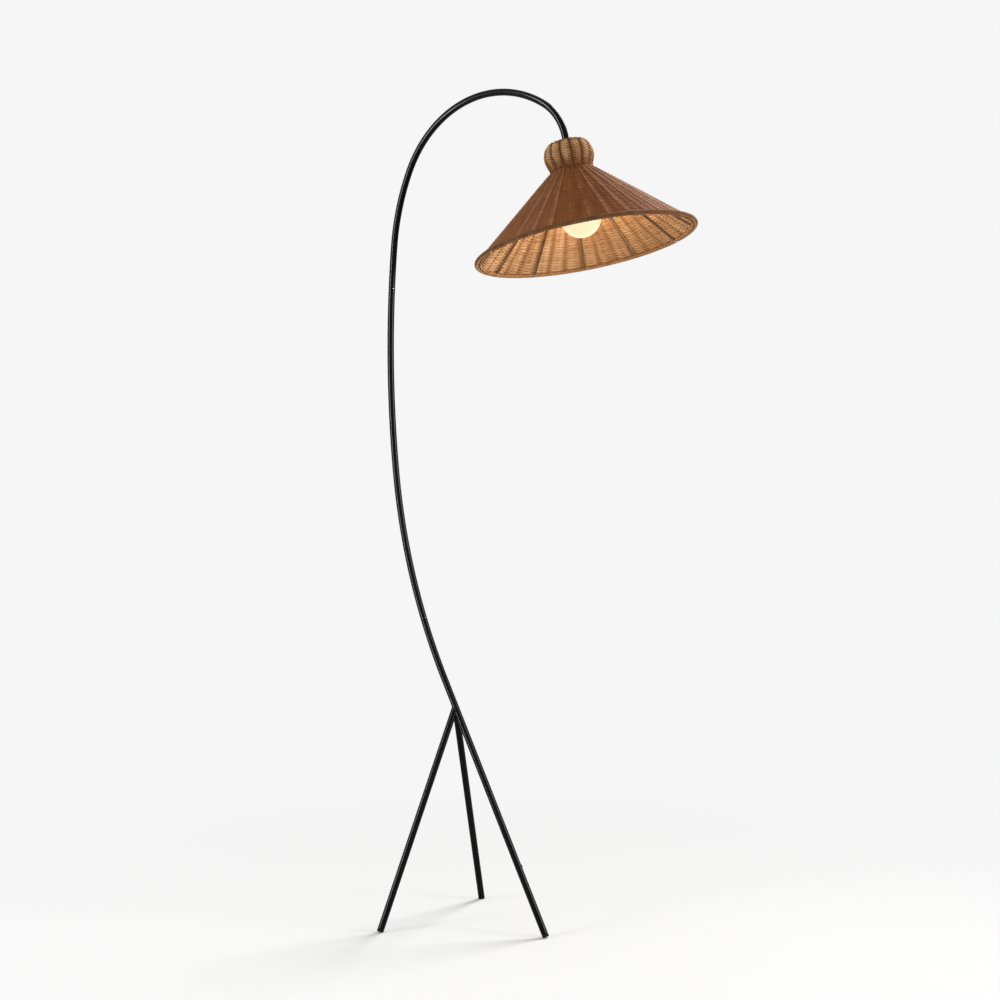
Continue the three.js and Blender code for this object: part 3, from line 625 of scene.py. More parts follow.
lower_start = foot_start(front_lean) + foot_head + fit
lengths = {
    "lower_tube": (lower_start, joints[0] - fit / 2),
    "middle_tube": (joints[0] + fit / 2, joints[1] - fit / 2),
    "arch_tube": (joints[1] + fit / 2, pole_length),
}
bush_reach = 0.15
hole_radius, hole_depth = 0.0039, 0.02
hole = turned(ring(0, hole_radius, hole_depth, 0), 32)
sideways = Matrix.Translation(pole_at(bush_reach)[0]) @ Matrix.Rotation(-pi / 2, 4, "X")
hole.transform(sideways @ Matrix.Translation((0, 0, hole_depth)))
for name, (start, end) in lengths.items():
    tube = pole_tube(start, end)
    if name == "lower_tube":
        tube = cut(tube, hole)
    dress(name + "_painted", tube, "black_paint", name)

# %% [markdown]
# ## Side legs, welds and feet
# Two straight tubes butt on the pole from behind and meet each other there. A Boolean cuts them to
# the pole, and a low bead of weld follows the seam. Its line is worked out: for each side of the
# leg, where it runs into the pole.

# %% Side legs
joint_reach = 0.5016
tripod_side = 0.339
upright = Vector((0, 0, 1))
apex, pole_way = pole_at(joint_reach)
near_joint = [apex - pole_way * 0.12, apex + pole_way * 0.055]
rear_x = foot_x - tripod_side * sqrt(3) / 2
floor_points = {"left": Vector((rear_x, -tripod_side / 2, 0)), "back": Vector((rear_x, tripod_side / 2, 0))}
leg_ways = {name: (apex - floor_point).normalized() for name, floor_point in floor_points.items()}


def half_space(side, size=0.2):
    """A block on the far side of the middle plane, where the other leg is."""
    block = bpy.data.meshes.new("block")
    with opened(block) as work:
        bmesh.ops.create_cube(work, size=size)
    block.transform(Matrix.Translation(apex + Vector((0, -side * (size - fit) / 2, 0))))
    return block


for name, floor_point in floor_points.items():
    way = leg_ways[name]
    start = foot_start(way.angle(upright)) + foot_head + fit
    line = [floor_point + way * d for d in (start, start + edge, (apex - floor_point).length)]
    leg = swept(line, [tube_radius - edge, tube_radius, tube_radius], 48)
    leg = cut(leg, swept(near_joint, tube_radius + fit / 3, 48))
    leg = cut(leg, half_space(copysign(1, floor_point.y)))
    dress(f"{name}_leg_painted", leg, "black_paint", f"{name}_leg")

# %% Weld beads
bead_radius, bead_ripple = 0.0007, 0.0001
ripples, steps_each = 12, 8


def across_pole(v):
    return v - pole_way * v.dot(pole_way)


def seam(way):
    """The closed line on which a leg meets the pole, or the other leg past the middle plane."""
    across = way.cross(pole_way).normalized()
    over = across.cross(way).normalized()
    line = []
    for turn in turns(ripples * steps_each):
        start = apex + (across * cos(turn) + over * sin(turn)) * tube_radius
        # (start - t way) has to lie a tube's radius from the pole's middle line
        p, d = across_pole(start - apex), across_pole(-way)
        a, b, c = d.dot(d), 2 * p.dot(d), p.dot(p) - tube_radius ** 2
        to_pole = (-b + sqrt(max(b * b - 4 * a * c, 0))) / (2 * a)
        to_plane = start.y / way.y
        line.append(start - way * max(to_pole, to_plane))
    return line


thickness = [bead_radius + bead_ripple * sin(turn) for turn in turns(steps_each)] * ripples
for name, way in leg_ways.items():
    dress(f"{name}_leg_weld", swept(seam(way), thickness, 12, closed=True), "black_paint")

# %% Rubber feet
def foot(floor_point, way):
    """A plug with a round lower edge and its stem in the tube, cut off flat by the floor."""
    start = foot_start(way.angle(upright))
    head_end = start + foot_head
    outline = [(0, start), *arc(tube_radius - foot_round, start + foot_round, foot_round, -90, 0, 8),
               (tube_radius, head_end - edge), (tube_radius - edge, head_end), (in_tube, head_end),
               (in_tube, head_end + foot_stem), (0, head_end + foot_stem)]
    plug = turned([(radius, -height) for radius, height in outline])
    lean = upright.rotation_difference(way).to_matrix().to_4x4()
    plug.transform(Matrix.Translation(floor_point) @ lean)
    with opened(plug) as work:
        everything = [*work.verts, *work.edges, *work.faces]
        bmesh.ops.bisect_plane(work, geom=everything, plane_no=(0, 0, -1), clear_outer=True)
        bmesh.ops.holes_fill(work, edges=[e for e in work.edges if e.is_boundary])
        bmesh.ops.recalc_face_normals(work, faces=work.faces)
    return shaded(plug)


dress("front_foot_rubber", foot(*pole_at(0)), "black_rubber", "front_foot")
for name, floor_point in floor_points.items():
    dress(f"{name}_foot_rubber", foot(floor_point, leg_ways[name]), "black_rubber", f"{name}_foot")

# %% [markdown]
# The cord of such a lamp enters the pole low down on the hidden side, through a rubber bush.
# Its collar is hollowed to sit on the round tube.

# %% Cord bush
collar_reach = 0.0078
cord_way, collar_wide, collar_narrow = 0.0027, 0.0055, 0.0046
collar = [(cord_way, 0), (collar_narrow, 0), (collar_wide, collar_reach), (cord_way, collar_reach)]
bush = turned(softened(collar, 0.0005), 48)
bush.transform(sideways @ Matrix.Translation((0, 0, collar_reach)))
around = [pole_at(bush_reach + d)[0] for d in (-0.03, 0.03)]
dress("cord_bush_rubber", cut(bush, swept(around, tube_radius + fit / 2, 64)), "black_rubber", "cord_bush")

# %% [markdown]
# ## The lamp holder
# The pole ends inside the neck of the shade, and everything from there hangs on the axis of the
# shade. These pieces are made upright, with depths measured down from the top of the neck, and
# one matrix tilts them into place. Screw threads are turned shapes whose radius follows a helix.

# %% Where the head of the lamp is
head_origin = pole_at(pole_length - tube_in_neck)[0]
head = Matrix.Translation(head_origin) @ Matrix.Rotation(-shade_tilt, 4, "Y")
print("head at", short(head_origin))


def threaded(outline, starts, ends, pitch, depth, sides=64, beyond=0):
    """Turns an outline and cuts a thread between two depths in its walls beyond a radius."""
    fine = []
    for i, (radius, place) in enumerate(outline):
        fine.append((radius, place))
        after = outline[(i + 1) % len(outline)]
        if abs(after[0] - radius) < 1e-7 and abs(after[1] - place) > pitch:
            steps = ceil(abs(after[1] - place) / pitch * 10)
            fine += [(radius, place + (after[1] - place) * k / steps) for k in range(1, steps)]
    mesh = turned(fine, sides, 60)
    for vertex in mesh.vertices:
        x, y, z = vertex.co
        radius = hypot(x, y)
        if radius <= beyond or not starts < -z < ends:
            continue
        fade = min(1, (-z - starts) / pitch, (ends + z) / pitch)
        wave = 0.5 - 0.5 * cos(2 * pi * z / pitch + atan2(y, x))
        scale = 1 - depth * fade * wave / radius
        vertex.co.x, vertex.co.y = x * scale, y * scale
    return mesh


# %% Depths of the holder
holder_radius, holder_wall = 0.0195, 0.002
collar_top = tube_in_neck + fit
thread_top = collar_top + 0.002
nut_top = thread_top + fit
nut_end = nut_top + 0.004
cap_top = nut_end + fit
cap_end = cap_top + 0.021
shell_top = cap_end + fit
fitter_top = shell_top + 0.0175
mouth = shell_top + 0.043
nose = mouth - 0.012
core_end = shell_top + 0.013
bulb_tip = mouth - 0.027
print(f"holder: {collar_top * 1000:.1f} to {mouth * 1000:.1f} mm below the top of the neck")

# %% Nipple, nut and cap
nipple_start, nipple_end = tube_in_neck - 0.02, collar_top + 0.015
thread_radius, nipple_hole = 0.0049, 0.0035
nipple = [(in_tube, nipple_start), (in_tube, collar_top), (tube_radius, collar_top),
          *ring(tube_radius, thread_radius, thread_top, nipple_end)[:3],
          (nipple_hole, nipple_end), (nipple_hole, nipple_start)]
nipple = threaded(nipple, thread_top, nipple_end, pitch=0.001, depth=0.0005, beyond=0.0045)
dress("tube_nipple_turned", nipple, "zinc_steel", "tube_nipple", sits=head)

nut_hole, nut_corner, nut_round, overlap = 0.0053, 0.0080829, 0.0079, 0.0001
blank = softened(ring(0, nut_round, nut_top - overlap, nut_end + overlap), 0.0009, 1)
nut = cut(turned(ring(nut_hole, nut_corner, nut_top, nut_end), 6, 30), turned(blank, 48), "INTERSECT")
dress("jam_nut_turned", nut, "zinc_steel", "jam_nut", sits=head)

cap_hole, cap_flat = 0.0052, 0.009
dome = holder_radius - cap_flat
dome_middle = cap_top + holder_wall + dome
in_holder = holder_radius - holder_wall
cap = [(cap_hole, cap_top), (cap_flat, cap_top), *arc(cap_flat, dome_middle, dome, -90, 0, 12),
       (holder_radius, cap_end), (in_holder, cap_end),
       *arc(cap_flat, dome_middle, dome - holder_wall, 0, -90, 10), (cap_hole, cap_top + 2 * holder_wall)]
dress("holder_cap_moulded", turned(softened(cap, 0.0003, 2), 72), "black_plastic", "holder_cap", sits=head)

# %% [markdown]
# The shade hangs on a steel fitter, which two notched rings clamp on the threaded shell of the
# holder. Twelve Booleans could cut the notches of a ring. A radius that follows a cosine makes
# them all at once, and a power below 1 makes them broad.

# %% Shell, with the thread that the clamp rings run on
nose_radius, mouth_radius = 0.0174, 0.0145
shell = [(holder_radius, shell_top), (holder_radius, nose), (nose_radius, nose + 0.0021),
         (nose_radius, mouth), *ring(in_holder, mouth_radius, mouth, core_end + fit)[1:],
         (in_holder, shell_top)]
thread = dict(pitch=0.0025, depth=0.0007, beyond=0.0185)
shell = threaded(shell, shell_top + 0.004, nose - 0.0005, sides=96, **thread)
dress("holder_shell_moulded", shell, "black_plastic", "holder_shell", sits=head)

# %% Clamp rings
ring_radius, ring_height, ring_edge = 0.026, 0.004, 0.0005
ring_hole = holder_radius + fit
fitter_thickness = 0.002
notches, notch_depth = 12, 0.0007


def clamp_ring(top):
    """A ring with twelve shallow finger notches and broken edges."""
    levels = [(0, ring_radius - ring_edge), (ring_edge, ring_radius), (ring_height - ring_edge, ring_radius),
              (ring_height, ring_radius - ring_edge), (ring_height, ring_hole), (0, ring_hole)]
    steps = notches * 12
    places = []
    for down, outer in levels:
        notch = notch_depth if outer > ring_hole else 0
        for turn in turns(steps):
            radius = outer - notch * (0.5 + 0.5 * cos(notches * turn)) ** 0.6
            places.append((radius * cos(turn), radius * sin(turn), -top - down))
    return closed_mesh(places, bands(len(levels), steps, True))


for name, top in (("upper", fitter_top - fit - ring_height), ("lower", fitter_top + fitter_thickness + fit)):
    dress(f"{name}_clamp_ring_moulded", clamp_ring(top), "black_plastic", f"{name}_clamp_ring", sits=head)

# %% [markdown]
# The plain solids of the fitter, the core and the contacts are right already. Only the small
# round edge of a pressed or stamped part is missing, so they get a bevel.

# %% Shade fitter, core and contacts from their plain pieces
def refined(node, width):
    """A copy of a plain piece with its doubles merged and its edges broken."""
    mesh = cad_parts[node].data.copy()
    with opened(mesh) as work:
        bmesh.ops.remove_doubles(work, verts=work.verts, dist=1e-6)
        bmesh.ops.dissolve_limit(work, angle_limit=radians(1), verts=work.verts, edges=work.edges)
    for layer in list(mesh.attributes):
        if layer.name.startswith(("custom_normal", "sharp")):
            mesh.attributes.remove(layer)
    return modified(mesh, "BEVEL", width=width, segments=2, limit_method="ANGLE", angle_limit=radians(40))


for node, finish, width in (("shade_fitter", "zinc_steel", 0.0003), ("holder_core", "white_ceramic", 0.0004),
                            ("centre_contact", "brass", 0.0001), ("screw_contact", "brass", 0.0001)):
    dress(node + "_finished", refined(node, width), finish, node)

# %% [markdown]
# ## Geometry Nodes for the weave
# The shade is woven: about a hundred rows run round it, each in front of one stake and behind
# the next. That is a rule, so a node tree weaves it: it puts a ring at each row of an outline, and
# bends every ring in and out with a cosine that changes its sign from row to row. Extra height at
# every ridge pushes the weave out over the main stakes.

# %% A tree with named inputs
def start_tree(name, whole, real):
    """A tree with an outline, a finish, whole numbers and real numbers as its inputs."""
    tree = bpy.data.node_groups.new(name, "GeometryNodeTree")
    tree.interface.new_socket("shape", in_out="OUTPUT", socket_type="NodeSocketGeometry")
    kinds = {"outline": "Geometry", "finish": "Material"}
    kinds.update(dict.fromkeys(whole.split(), "Int"))
    kinds.update(dict.fromkeys(real.split(), "Float"))
    for label, kind in kinds.items():
        tree.interface.new_socket(label.replace("_", " "), in_out="INPUT", socket_type="NodeSocket" + kind)
    source = add_node(tree, "NodeGroupInput")
    given = {label: Field(tree, source.outputs[label.replace("_", " ")]) for label in kinds}
    return tree, SimpleNamespace(**given)


def geometry(tree, kind, *inputs, **values):
    return field(tree, "GeometryNode" + kind, *inputs, **values)


def end_tree(shape, finish):
    plain = geometry(shape.tree, "RealizeInstances", shape)
    add_node(shape.tree, "NodeGroupOutput", geometry(shape.tree, "SetMaterial", plain, Material=finish))
    print(f"{shape.tree.name}: {len(shape.tree.nodes)} nodes")
    return shape.tree


VECTOR = "FLOAT_VECTOR"


def store(shape, name, value, kind="FLOAT", domain="POINT"):
    values = dict(Name=name, Value=value, data_type=kind, domain=domain)
    return geometry(shape.tree, "StoreNamedAttribute", shape, **values)


def recall(tree, name, kind="FLOAT"):
    return geometry(tree, "InputNamedAttribute", Name=name, data_type=kind)


# %% What the trees share
def round_axis(radius, turn, height):
    """The place at a radius, a turn and a height about the axis of the shade."""
    return vector(turn.tree, turn.cos() * radius, turn.sin() * radius, height)


def traced(tree, outline, count):
    """The outline as a curve of even steps, which stores its outward direction, and that direction."""
    line = geometry(tree, "ResampleCurve", geometry(tree, "MeshToCurve", outline), Count=count)
    way_out, _, way_down = parts(geometry(tree, "InputTangent"))
    outward = vector(tree, 0 - way_down, 0, way_out)
    return store(line, "outward", outward, VECTOR), outward


def rings_at(points, steps):
    """A ring of radius 1 at each point, and the turn and the row of each place on it."""
    tree = points.tree
    circle = geometry(tree, "CurvePrimitiveCircle", Resolution=steps, Radius=1.0)
    circle = store(circle, "turn", geometry(tree, "InputIndex") * (2 * pi) / steps)
    rings = geometry(tree, "RealizeInstances", geometry(tree, "InstanceOnPoints", points, Instance=circle))
    return rings, recall(tree, "turn"), recall(tree, "row")


def thickened(line, thickness, height, sides, **values):
    """Runs the section of a strand along a line. With 8 sides it has flat faces."""
    tree = line.tree
    turn = pi / 8
    section = geometry(tree, "CurvePrimitiveCircle", Resolution=sides, Radius=0.5 / cos(turn))
    section = geometry(tree, "Transform", section, Rotation=(0, 0, turn))
    section = geometry(tree, "Transform", section, Scale=vector(tree, thickness, height, 1))
    return geometry(tree, "CurveToMesh", line, Profile_Curve=section, **values)


def facing_of(outward):
    """How far a face looks out of the shade: 1 straight out, -1 straight in."""
    return measured("DOT_PRODUCT", geometry(outward.tree, "InputNormal"), outward)


def end_strands(strands, turn, row, finish):
    """Stores the place that the grain of the rattan runs through, and ends the tree."""
    return end_tree(store(strands, "along", round_axis(1, turn, row), VECTOR), finish)


# %% Woven rows
def weave_tree():
    tree, given = start_tree(
        "woven rows", "rows stakes steps ridges",
        "first_stake height thickness depth first_ridge ridge_height sharpness variety growth wear fade "
        "inner_groove outer_groove unevenness seed")
    line, _ = traced(tree, given.outline, given.rows)
    line = store(line, "centre", geometry(tree, "InputPosition"), VECTOR)
    line = store(line, "row", geometry(tree, "InputIndex"))
    rows, turn, row = rings_at(line, given.stakes * given.steps)
    radius, _, height = parts(recall(tree, "centre", VECTOR))
    out, _, rise = parts(recall(tree, "outward", VECTOR))

    # the wave is flattened at its crests, and each row is the opposite of the last
    wave = ((turn - given.first_stake) * given.stakes * 0.5).cos()
    wave = wave * (3 - wave * wave) * 0.5 * (1 - row.maths("MODULO", 2) * 2)
    from_ridge = turn - given.first_ridge
    swell = (from_ridge * given.ridges).cos() * 0.5 + 0.5
    ridge = swell.maths("POWER", given.sharpness) * mapped(row + 1, 0, given.growth)
    which = (from_ridge * given.ridges / (2 * pi)).maths("ROUND").maths("WRAP", given.ridges, 0)
    least, most = 1 - given.variety, given.variety * 0.5 + 1
    ridge = ridge * mapped(dice(vector(tree, which, given.seed, 0)), 0, 1, least, most)
    round_place = round_axis(3, turn, row * 0.37 + given.seed)
    wander = (noise(round_place, 2.3) - 0.5) * given.unevenness
    slide = (noise(round_place, 5.1) - 0.5) * given.unevenness * 0.6

    lift = wave * given.depth + ridge * given.ridge_height + wander
    place = round_axis(radius + out * lift + rise * slide, turn, height + rise * lift - out * slide)
    # the ridge value paints the crests lighter: partly wear, partly a painted highlight
    ridge_fade = mapped(row, given.rows - given.fade, given.rows, 1, 0.15)
    own = dice(vector(tree, row, given.seed, 1))
    rows = store(rows, "ridge", ridge * given.wear * ridge_fade)
    rows = store(rows, "wave", wave)
    rows = store(rows, "swell", swell)
    rows = store(rows, "tone", own * 0.6 + noise(round_place, 1.3) * 0.4)
    rows = geometry(tree, "SetPosition", rows, Position=place)
    outward = round_axis(out, turn, rise)
    rows = geometry(tree, "SetCurveNormal", rows, Normal=outward, mode="FREE")
    strands = thickened(rows, given.thickness, given.height, 8)
    strands = store(strands, "facing", facing_of(outward))
    facing, swell = recall(tree, "facing"), recall(tree, "swell")
    # painted shade in the grooves: inside in the valleys behind the main stakes, outside between the lobes of
    # the neck
    inner = swell.maths("POWER", 3) * mapped(facing, -0.5, 0, given.inner_groove, 0)
    outer = (1 - swell).maths("POWER", 8) * mapped(facing, 0, 0.5, 0, given.outer_groove)
    strands = store(strands, "groove", inner + outer)
    return end_strands(strands, turn, row, given.finish)


# %% [markdown]
# Stakes and ribs are simpler: one line, given its section, is copied round the axis. A rope
# border needs only strands that circle each other while they go round the rim.

# %% Stakes and ribs
def stakes_tree():
    tree, given = start_tree("stakes", "count steps sides", "first width thickness seed")
    line, outward = traced(tree, given.outline, given.steps)
    line = geometry(tree, "SetCurveNormal", line, Normal=outward, mode="FREE")
    stake = thickened(line, given.thickness, given.width, given.sides, Fill_Caps=True)
    stake = store(stake, "facing", facing_of(recall(tree, "outward", VECTOR)))
    depth = parts(geometry(tree, "InputPosition"))[2]
    stake = store(stake, "along", vector(tree, depth * 8, 0, depth * 8), VECTOR)
    index = geometry(tree, "InputIndex")
    turn = index * (2 * pi) / given.count + given.first
    spots = geometry(tree, "Points", Count=given.count)
    stakes = geometry(tree, "InstanceOnPoints", spots, Instance=stake, Rotation=vector(tree, 0, 0, turn))
    stakes = store(stakes, "tone", dice(vector(tree, index, given.seed, 2)), domain="INSTANCE")
    return end_tree(store(stakes, "ridge", 0.0, domain="INSTANCE"), given.finish)


# %% Ropes
def rope_tree():
    tree, given = start_tree("rope ring", "strands twists steps", "radius depth lay strand_radius seed")
    spots = geometry(tree, "Points", Count=given.strands)
    spots = store(spots, "row", geometry(tree, "InputIndex"))
    rings, turn, row = rings_at(spots, given.steps)
    phase = turn * given.twists + row * (2 * pi) / given.strands
    place = round_axis(given.radius + phase.cos() * given.lay, turn, phase.sin() * given.lay - given.depth)
    rings = geometry(tree, "SetPosition", rings, Position=place)
    own = dice(vector(tree, row, given.seed, 3))
    rings = store(rings, "tone", own * 0.5 + noise(round_axis(1, turn, row), 9) * 0.5)
    # lighter where each strand comes round to the outside of the rope: partly wear, partly a painted
    # highlight
    rings = store(rings, "ridge", phase.cos() * 0.25 + 0.25)
    strands = thickened(rings, given.strand_radius * 2, given.strand_radius * 2, 10)
    strands = store(strands, "facing", facing_of(round_axis(1, turn, 0.5)))
    core = round_axis(given.radius, turn, 0 - given.depth)
    # painted shade between the strands, close to the core of the rope
    share = measured("DISTANCE", geometry(tree, "InputPosition"), core) / (given.lay + given.strand_radius)
    strands = store(strands, "groove", mapped(share, 0.55, 0.9, 0.9, 0))
    return end_strands(strands, turn, row, given.finish)


# %% Grow a plain mesh from a tree
weave, stakes, rope = weave_tree(), stakes_tree(), rope_tree()


def grow(name, tree, outline, finish, *nodes, slot=None, **values):
    """Dresses the shade with what a tree grows on an outline. An input that isn't given stays 0."""
    line = bpy.data.meshes.new("outline")
    edges = [(i, i + 1) for i in range(len(outline) - 1)]
    line.from_pydata([(radius, 0, -depth) for radius, depth in outline], edges, [])
    seedling = in_scene("seedling", line)
    modifier = seedling.modifiers.new("tree", "NODES")
    modifier.node_group = tree
    values["finish"] = finishes[finish]
    for item in tree.interface.items_tree:
        label = item.name.replace(" ", "_")
        if item.in_out == "INPUT" and label in values:
            modifier[item.identifier] = values[label]
    made = evaluated(seedling)
    for extra in ("outward", "centre", "turn", "row", "swell"):
        if extra in made.attributes:
            made.attributes.remove(made.attributes[extra])
    made.shade_smooth()
    dress(name, made, finish, *nodes, sits=head, slot=slot)


# %% [markdown]
# ## The woven shade
# The neck swells and draws in again before the cone starts. Both are given as outlines through
# the middle of the weave. The rows of the cone lie 3.3 mm apart, and its strands are 4.2 mm high,
# so that each row covers the edge of the next and no light comes through.

# %% Outlines
weave_thickness = 0.0035
neck_top, top_depth = 0.0342, 0.0116
bulge, bulge_depth = 0.048, 0.0391
waist, waist_depth = 0.0411, 0.0655
shoulder_power = 1.63
rim, rim_depth, rim_roll = 0.2164, 0.2182, 0.004
first_stake = radians(7)
first_lobe = radians(14.9)


def neck_radius(depth):
    if depth < bulge_depth:
        share = (bulge_depth - depth) / (bulge_depth - top_depth)
        return neck_top + (bulge - neck_top) * (1 - share ** shoulder_power) ** (1 / shoulder_power)
    share = (depth - bulge_depth) / (waist_depth - bulge_depth)
    return bulge - (bulge - waist) * (1 - cos(pi * share)) / 2


slope = Vector((rim - waist, rim_depth - waist_depth)).normalized()
inwards = Vector((-slope.y, slope.x))
waist_point = Vector((waist, waist_depth))
rim_point = Vector((rim, rim_depth)) - inwards * weave_thickness / 2


def on_cone(distance, inset):
    """A point on the cone, at a distance down from the waist and an inset into the shade."""
    return waist_point + slope * distance + inwards * inset


slope_length = (rim_point - waist_point).dot(slope)
cone_end = slope_length - rim_roll - 0.0012
row_pitch = 0.0033
half = weave_thickness / 2 + 0.0002
print(f"cone: {cone_end * 1000:.0f} mm of weave, {cone_end / row_pitch:.0f} rows")

# %% [markdown]
# Below a split, a further stake stands halfway between each two main ones, and the weave goes
# round them all. Above it there is no room for that, so the upper weave has half as many stakes.

# %% Cone
split = 0.099
last_row = cone_end - 0.0009
wide_rows = floor((cone_end - split) / row_pitch)
tight_rows = floor((split - 0.003) / row_pitch)
woven = dict(first_stake=first_stake, first_ridge=first_stake, ridges=36, height=0.0042, thickness=0.0021,
             depth=0.0006, ridge_height=0.0019, sharpness=18.0, variety=0.6, wear=1.0, inner_groove=0.55,
             unevenness=0.0006, seed=3.0)
lower_line = [on_cone(last_row - row_pitch * (wide_rows - 1), half), on_cone(last_row, half)]
upper_line = [on_cone(0.0022, half), on_cone(last_row - row_pitch * wide_rows, half)]
grow("cone_lower_weave", weave, lower_line, "rattan", "woven_cone", rows=wide_rows, stakes=72, steps=4,
     growth=1.0, **woven)
grow("cone_upper_weave", weave, upper_line, "rattan", rows=tight_rows, stakes=36, steps=8, growth=5.0,
     **woven)

# %% Stakes of the cone
deep = half - 0.0007
flat_stake = dict(sides=8, slot="rattan")
grow("cone_main_stakes", stakes, [on_cone(0.001, deep), on_cone(cone_end, deep)], "rattan_stake", count=36,
     first=first_stake, steps=12, width=0.0032, thickness=0.001, seed=5.0, **flat_stake)
grow("cone_between_stakes", stakes, [on_cone(split, half), on_cone(cone_end, half)], "rattan_stake", count=36,
     first=first_stake + radians(5), steps=8, width=0.003, thickness=0.001, seed=6.0, **flat_stake)

# %% [markdown]
# The neck is woven in the same way, but swells into fourteen lobes. A sharpness below 1 makes its
# ridges broad and round, with narrow grooves between them that are painted dark as shade.

# %% Neck
lobes = 14
neck_start, neck_reach = top_depth + 0.0016, waist_depth - top_depth - 0.0024
neck_depths = [neck_start + neck_reach * (1 - cos(pi * i / 80)) for i in range(41)]
neck_line = [(neck_radius(depth) - half, depth) for depth in neck_depths]
first_groove = first_lobe + pi / lobes
grow("neck_weave", weave, neck_line, "rattan", "woven_neck", rows=25, stakes=42, steps=6,
     first_stake=first_groove, first_ridge=first_lobe, ridges=lobes, height=0.003, thickness=0.0018,
     depth=0.0008, ridge_height=0.0028, sharpness=0.35, variety=0.3, growth=6.0, wear=1.2, fade=12.0,
     outer_groove=0.5, unevenness=0.0006, seed=8.0)
grow("neck_stakes", stakes, neck_line, "rattan_stake", count=42, first=first_groove, steps=24, width=0.0026,
     thickness=0.0008, seed=9.0, **flat_stake)

# %% [markdown]
# A flat disc of seven rows closes the neck round the tube, and ropes of three strands finish rim
# and neck. One twisted bar could stand in for a rope, but strands of their own catch light better.

# %% Flat top
top_middle = top_depth + weave_thickness / 2
grow("top_weave", weave, [(0.0096, top_middle), (0.0286, top_middle)], "rattan", "woven_top", rows=7,
     stakes=28, steps=6, first_stake=first_lobe, height=0.0033, thickness=0.0014, depth=0.0008,
     unevenness=0.0004, seed=12.0)
grow("top_stakes", stakes, [(0.0088, top_middle), (0.029, top_middle)], "rattan", count=28, first=first_lobe,
     steps=3, width=0.0016, thickness=0.0008, seed=13.0, **flat_stake)

# %% Rolled borders
grow("rim_rope", rope, (), "rattan_rim", "rim_roll", radius=rim, depth=rim_depth, strands=3, twists=70,
     lay=0.002, strand_radius=0.002, steps=910, seed=2.0)
grow("neck_border_rope", rope, (), "rattan_rim", radius=neck_top - 0.0024, depth=top_depth + 0.0019,
     strands=3, twists=16, lay=0.0008, strand_radius=0.0009, steps=288, seed=4.0)

# %% [markdown]
# ## Wire frame
# Twelve lacquered ribs run down the inside of the weave and end inside the rolled rim. Three
# hoops tie them: under the flat top, in the waist, and at the rim, bound with split rattan.

# %% Ribs
rib_radius, waist_wire = 0.0015, 0.002
neck_setback = weave_thickness + 0.0013 + fit
cone_setback = weave_thickness + 0.0008 + fit + rib_radius
waist_hoop = (waist - neck_setback - waist_wire, waist_depth)
top_hoop = (0.026, top_depth + weave_thickness + fit + rib_radius)
rib_depths = [top_depth + (waist_depth - top_depth) * i / 16 for i in range(3, 15)]
in_neck = [(neck_radius(depth) - neck_setback - waist_wire, depth) for depth in rib_depths]
below = on_cone(0, cone_setback)
turn_point = below + slope * ((waist_hoop[0] + rib_radius - below.x) / slope.x)
in_cone = [on_cone(slope_length - d, cone_setback) for d in (0.012, 0.0025)]
in_rope = on_cone(slope_length + 0.0003, 0.0032)
rib_line = [top_hoop, *in_neck, waist_hoop, turn_point, *in_cone, in_rope]
grow("frame_ribs", stakes, rib_line, "frame_wire", "wire_frame", count=12, first=radians(5.5), steps=90,
     width=0.0031, thickness=0.0031, sides=16, seed=1.0)

# %% Hoops
for name, place, wire in (("top", top_hoop, rib_radius), ("waist", waist_hoop, waist_wire)):
    dress(f"frame_{name}_hoop", turned(arc(*place, wire, 0, 345, 23), 180), "frame_wire", sits=head)
hoop_radius, hoop_depth = on_cone(slope_length - 0.0046, cone_setback)
grow("rim_hoop_binding", rope, (), "rattan_rim", radius=hoop_radius, depth=hoop_depth, strands=2, twists=150,
     lay=0.0009, strand_radius=0.0011, steps=1500, seed=7.0)

# %% [markdown]
# ## Bulb
# A globe bulb of 80 mm on a screw cap. It belongs to a body of its own, because it comes out of
# its holder. Depths start at the tip of the cap.

# %% Glass
bulb_head = head @ Matrix.Translation((0, 0, -bulb_tip))
tip_height, insulator_height, cap_height = 0.0013, 0.0048, 0.0205
insulator_top = tip_height + fit
bulb_cap_top = insulator_top + insulator_height + fit
bulb_cap_end = bulb_cap_top + cap_height
glass_top = bulb_cap_end + fit
globe = 0.04
globe_depth = 0.12 - globe
flare_angle = 35


def glass_outline(inset, steps):
    """From the neck of the bulb in one curve to the globe, and round it to the axis."""
    radius = globe - inset
    flare = Vector(arc(0, globe_depth, radius, flare_angle - 90, flare_angle - 90, 1)[0])
    lean = radians(flare_angle)
    lead = Vector((cos(lean), sin(lean))) * globe / 5
    neck = Vector((0.0132 - inset, glass_top + 0.0016))
    points = [(neck.x, glass_top)]
    for i in range(13):
        t = i / 12
        place = (neck * (1 - t) ** 3 + (neck + Vector((0, globe / 5))) * 3 * t * (1 - t) ** 2
                 + (flare - lead) * 3 * t * t * (1 - t) + flare * t ** 3)
        points.append(tuple(place))
    round_globe = arc(0, globe_depth, radius, flare_angle - 90, 90, steps)[1:-1]
    return [*points, *round_globe, (0, globe_depth + radius)]


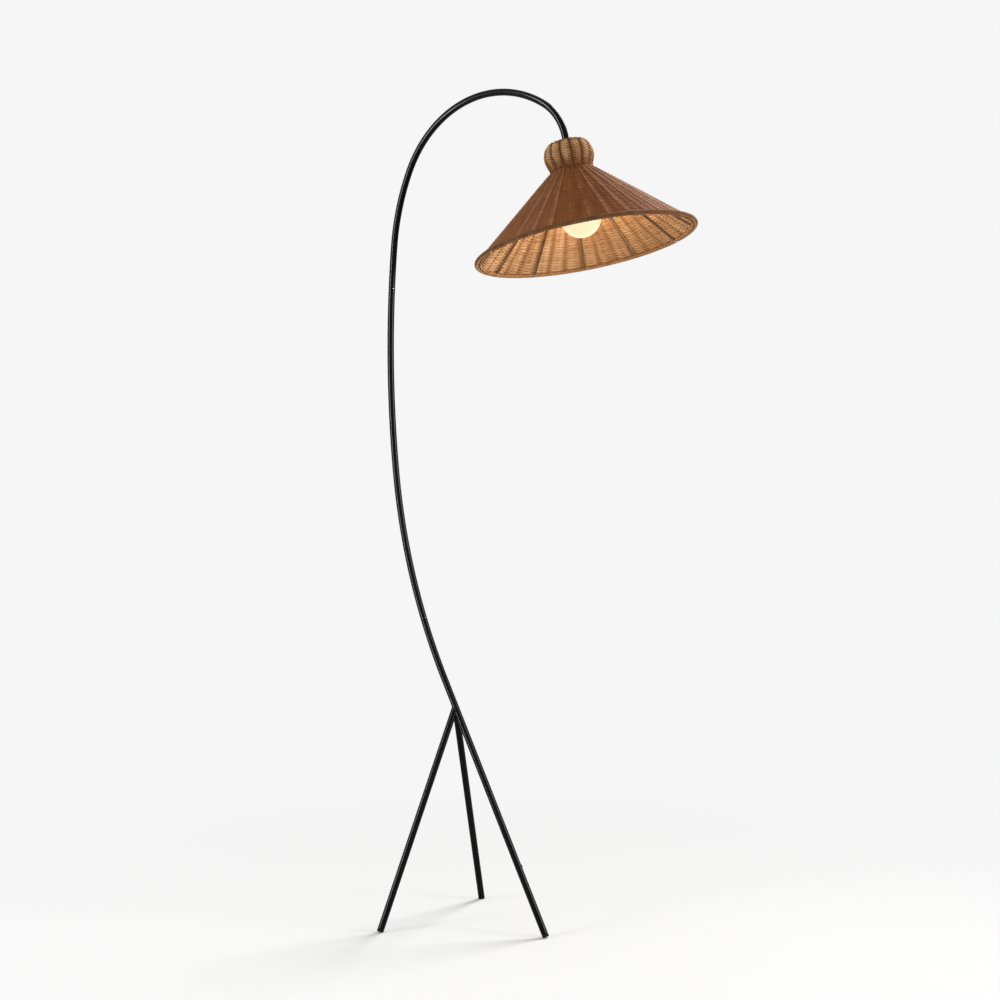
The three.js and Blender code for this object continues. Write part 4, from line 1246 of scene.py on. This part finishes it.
glass = turned([*reversed(glass_outline(0.001, 40)), *glass_outline(0, 48)], 96)
globe_piece = dress("bulb_globe", glass, "opal_glass", "bulb_glass", body="bulb", sits=bulb_head)
globe_piece.visible_shadow = False

# %% Cap, insulator and tip
cap_radius, in_cap, cap_edge = 0.0131, 0.0125, 0.0007
cap_outline = [(cap_radius - cap_edge, bulb_cap_top), (cap_radius, bulb_cap_top + cap_edge),
               (cap_radius, bulb_cap_end), (in_cap, bulb_cap_end), (in_cap, bulb_cap_top + 0.0006),
               (in_cap - cap_edge, bulb_cap_top)]
thread = dict(pitch=0.0035, depth=0.0009)
screw = threaded(cap_outline, bulb_cap_top + 0.0012, bulb_cap_top + 0.0165, sides=72, **thread)
insulator_end = insulator_top + insulator_height
tip_radius, tip_round = 0.005, tip_height / 2
insulator = [(0, insulator_top), (tip_radius, insulator_top), (cap_radius - cap_edge, insulator_end),
             (0, insulator_end)]
tip = [(0, 0), *arc(tip_radius - tip_round, tip_round, tip_round, -90, 0, 6), (tip_radius, tip_height),
       (0, tip_height)]
for name, mesh, finish, node in (
        ("bulb_screw_cap", screw, "nickel", "bulb_cap"),
        ("bulb_cap_insulator", turned(softened(insulator, 0.0006)), "black_plastic", "bulb_insulator"),
        ("bulb_tip_contact", turned(tip, 48), "nickel", "bulb_tip")):
    dress(name, mesh, finish, node, body="bulb", sits=bulb_head)

# %% [markdown]
# The glowing glass alone would light the weave with much noise. A soft lamp in the middle of the
# globe, a little smaller than the glass, does the same cleanly.

# %% Light of the bulb
globe_middle = bulb_head @ Vector((0, 0, -globe_depth))
studio_lamp("bulb light", "POINT", globe_middle, (0, 0, 0), energy=1.03, color=(1.0, 0.78, 0.51),
            shadow_soft_size=0.034)
print("bulb light at", short(globe_middle))

# %% [markdown]
# The two sleeves inside the joints of the pole are hidden and plain, so they only get a finish.

# %% Finish of the plain pieces that stay
for name in ("lower_sleeve", "upper_sleeve"):
    painted(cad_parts[name].data, "zinc_steel")
    print(name, "keeps its plain shape")
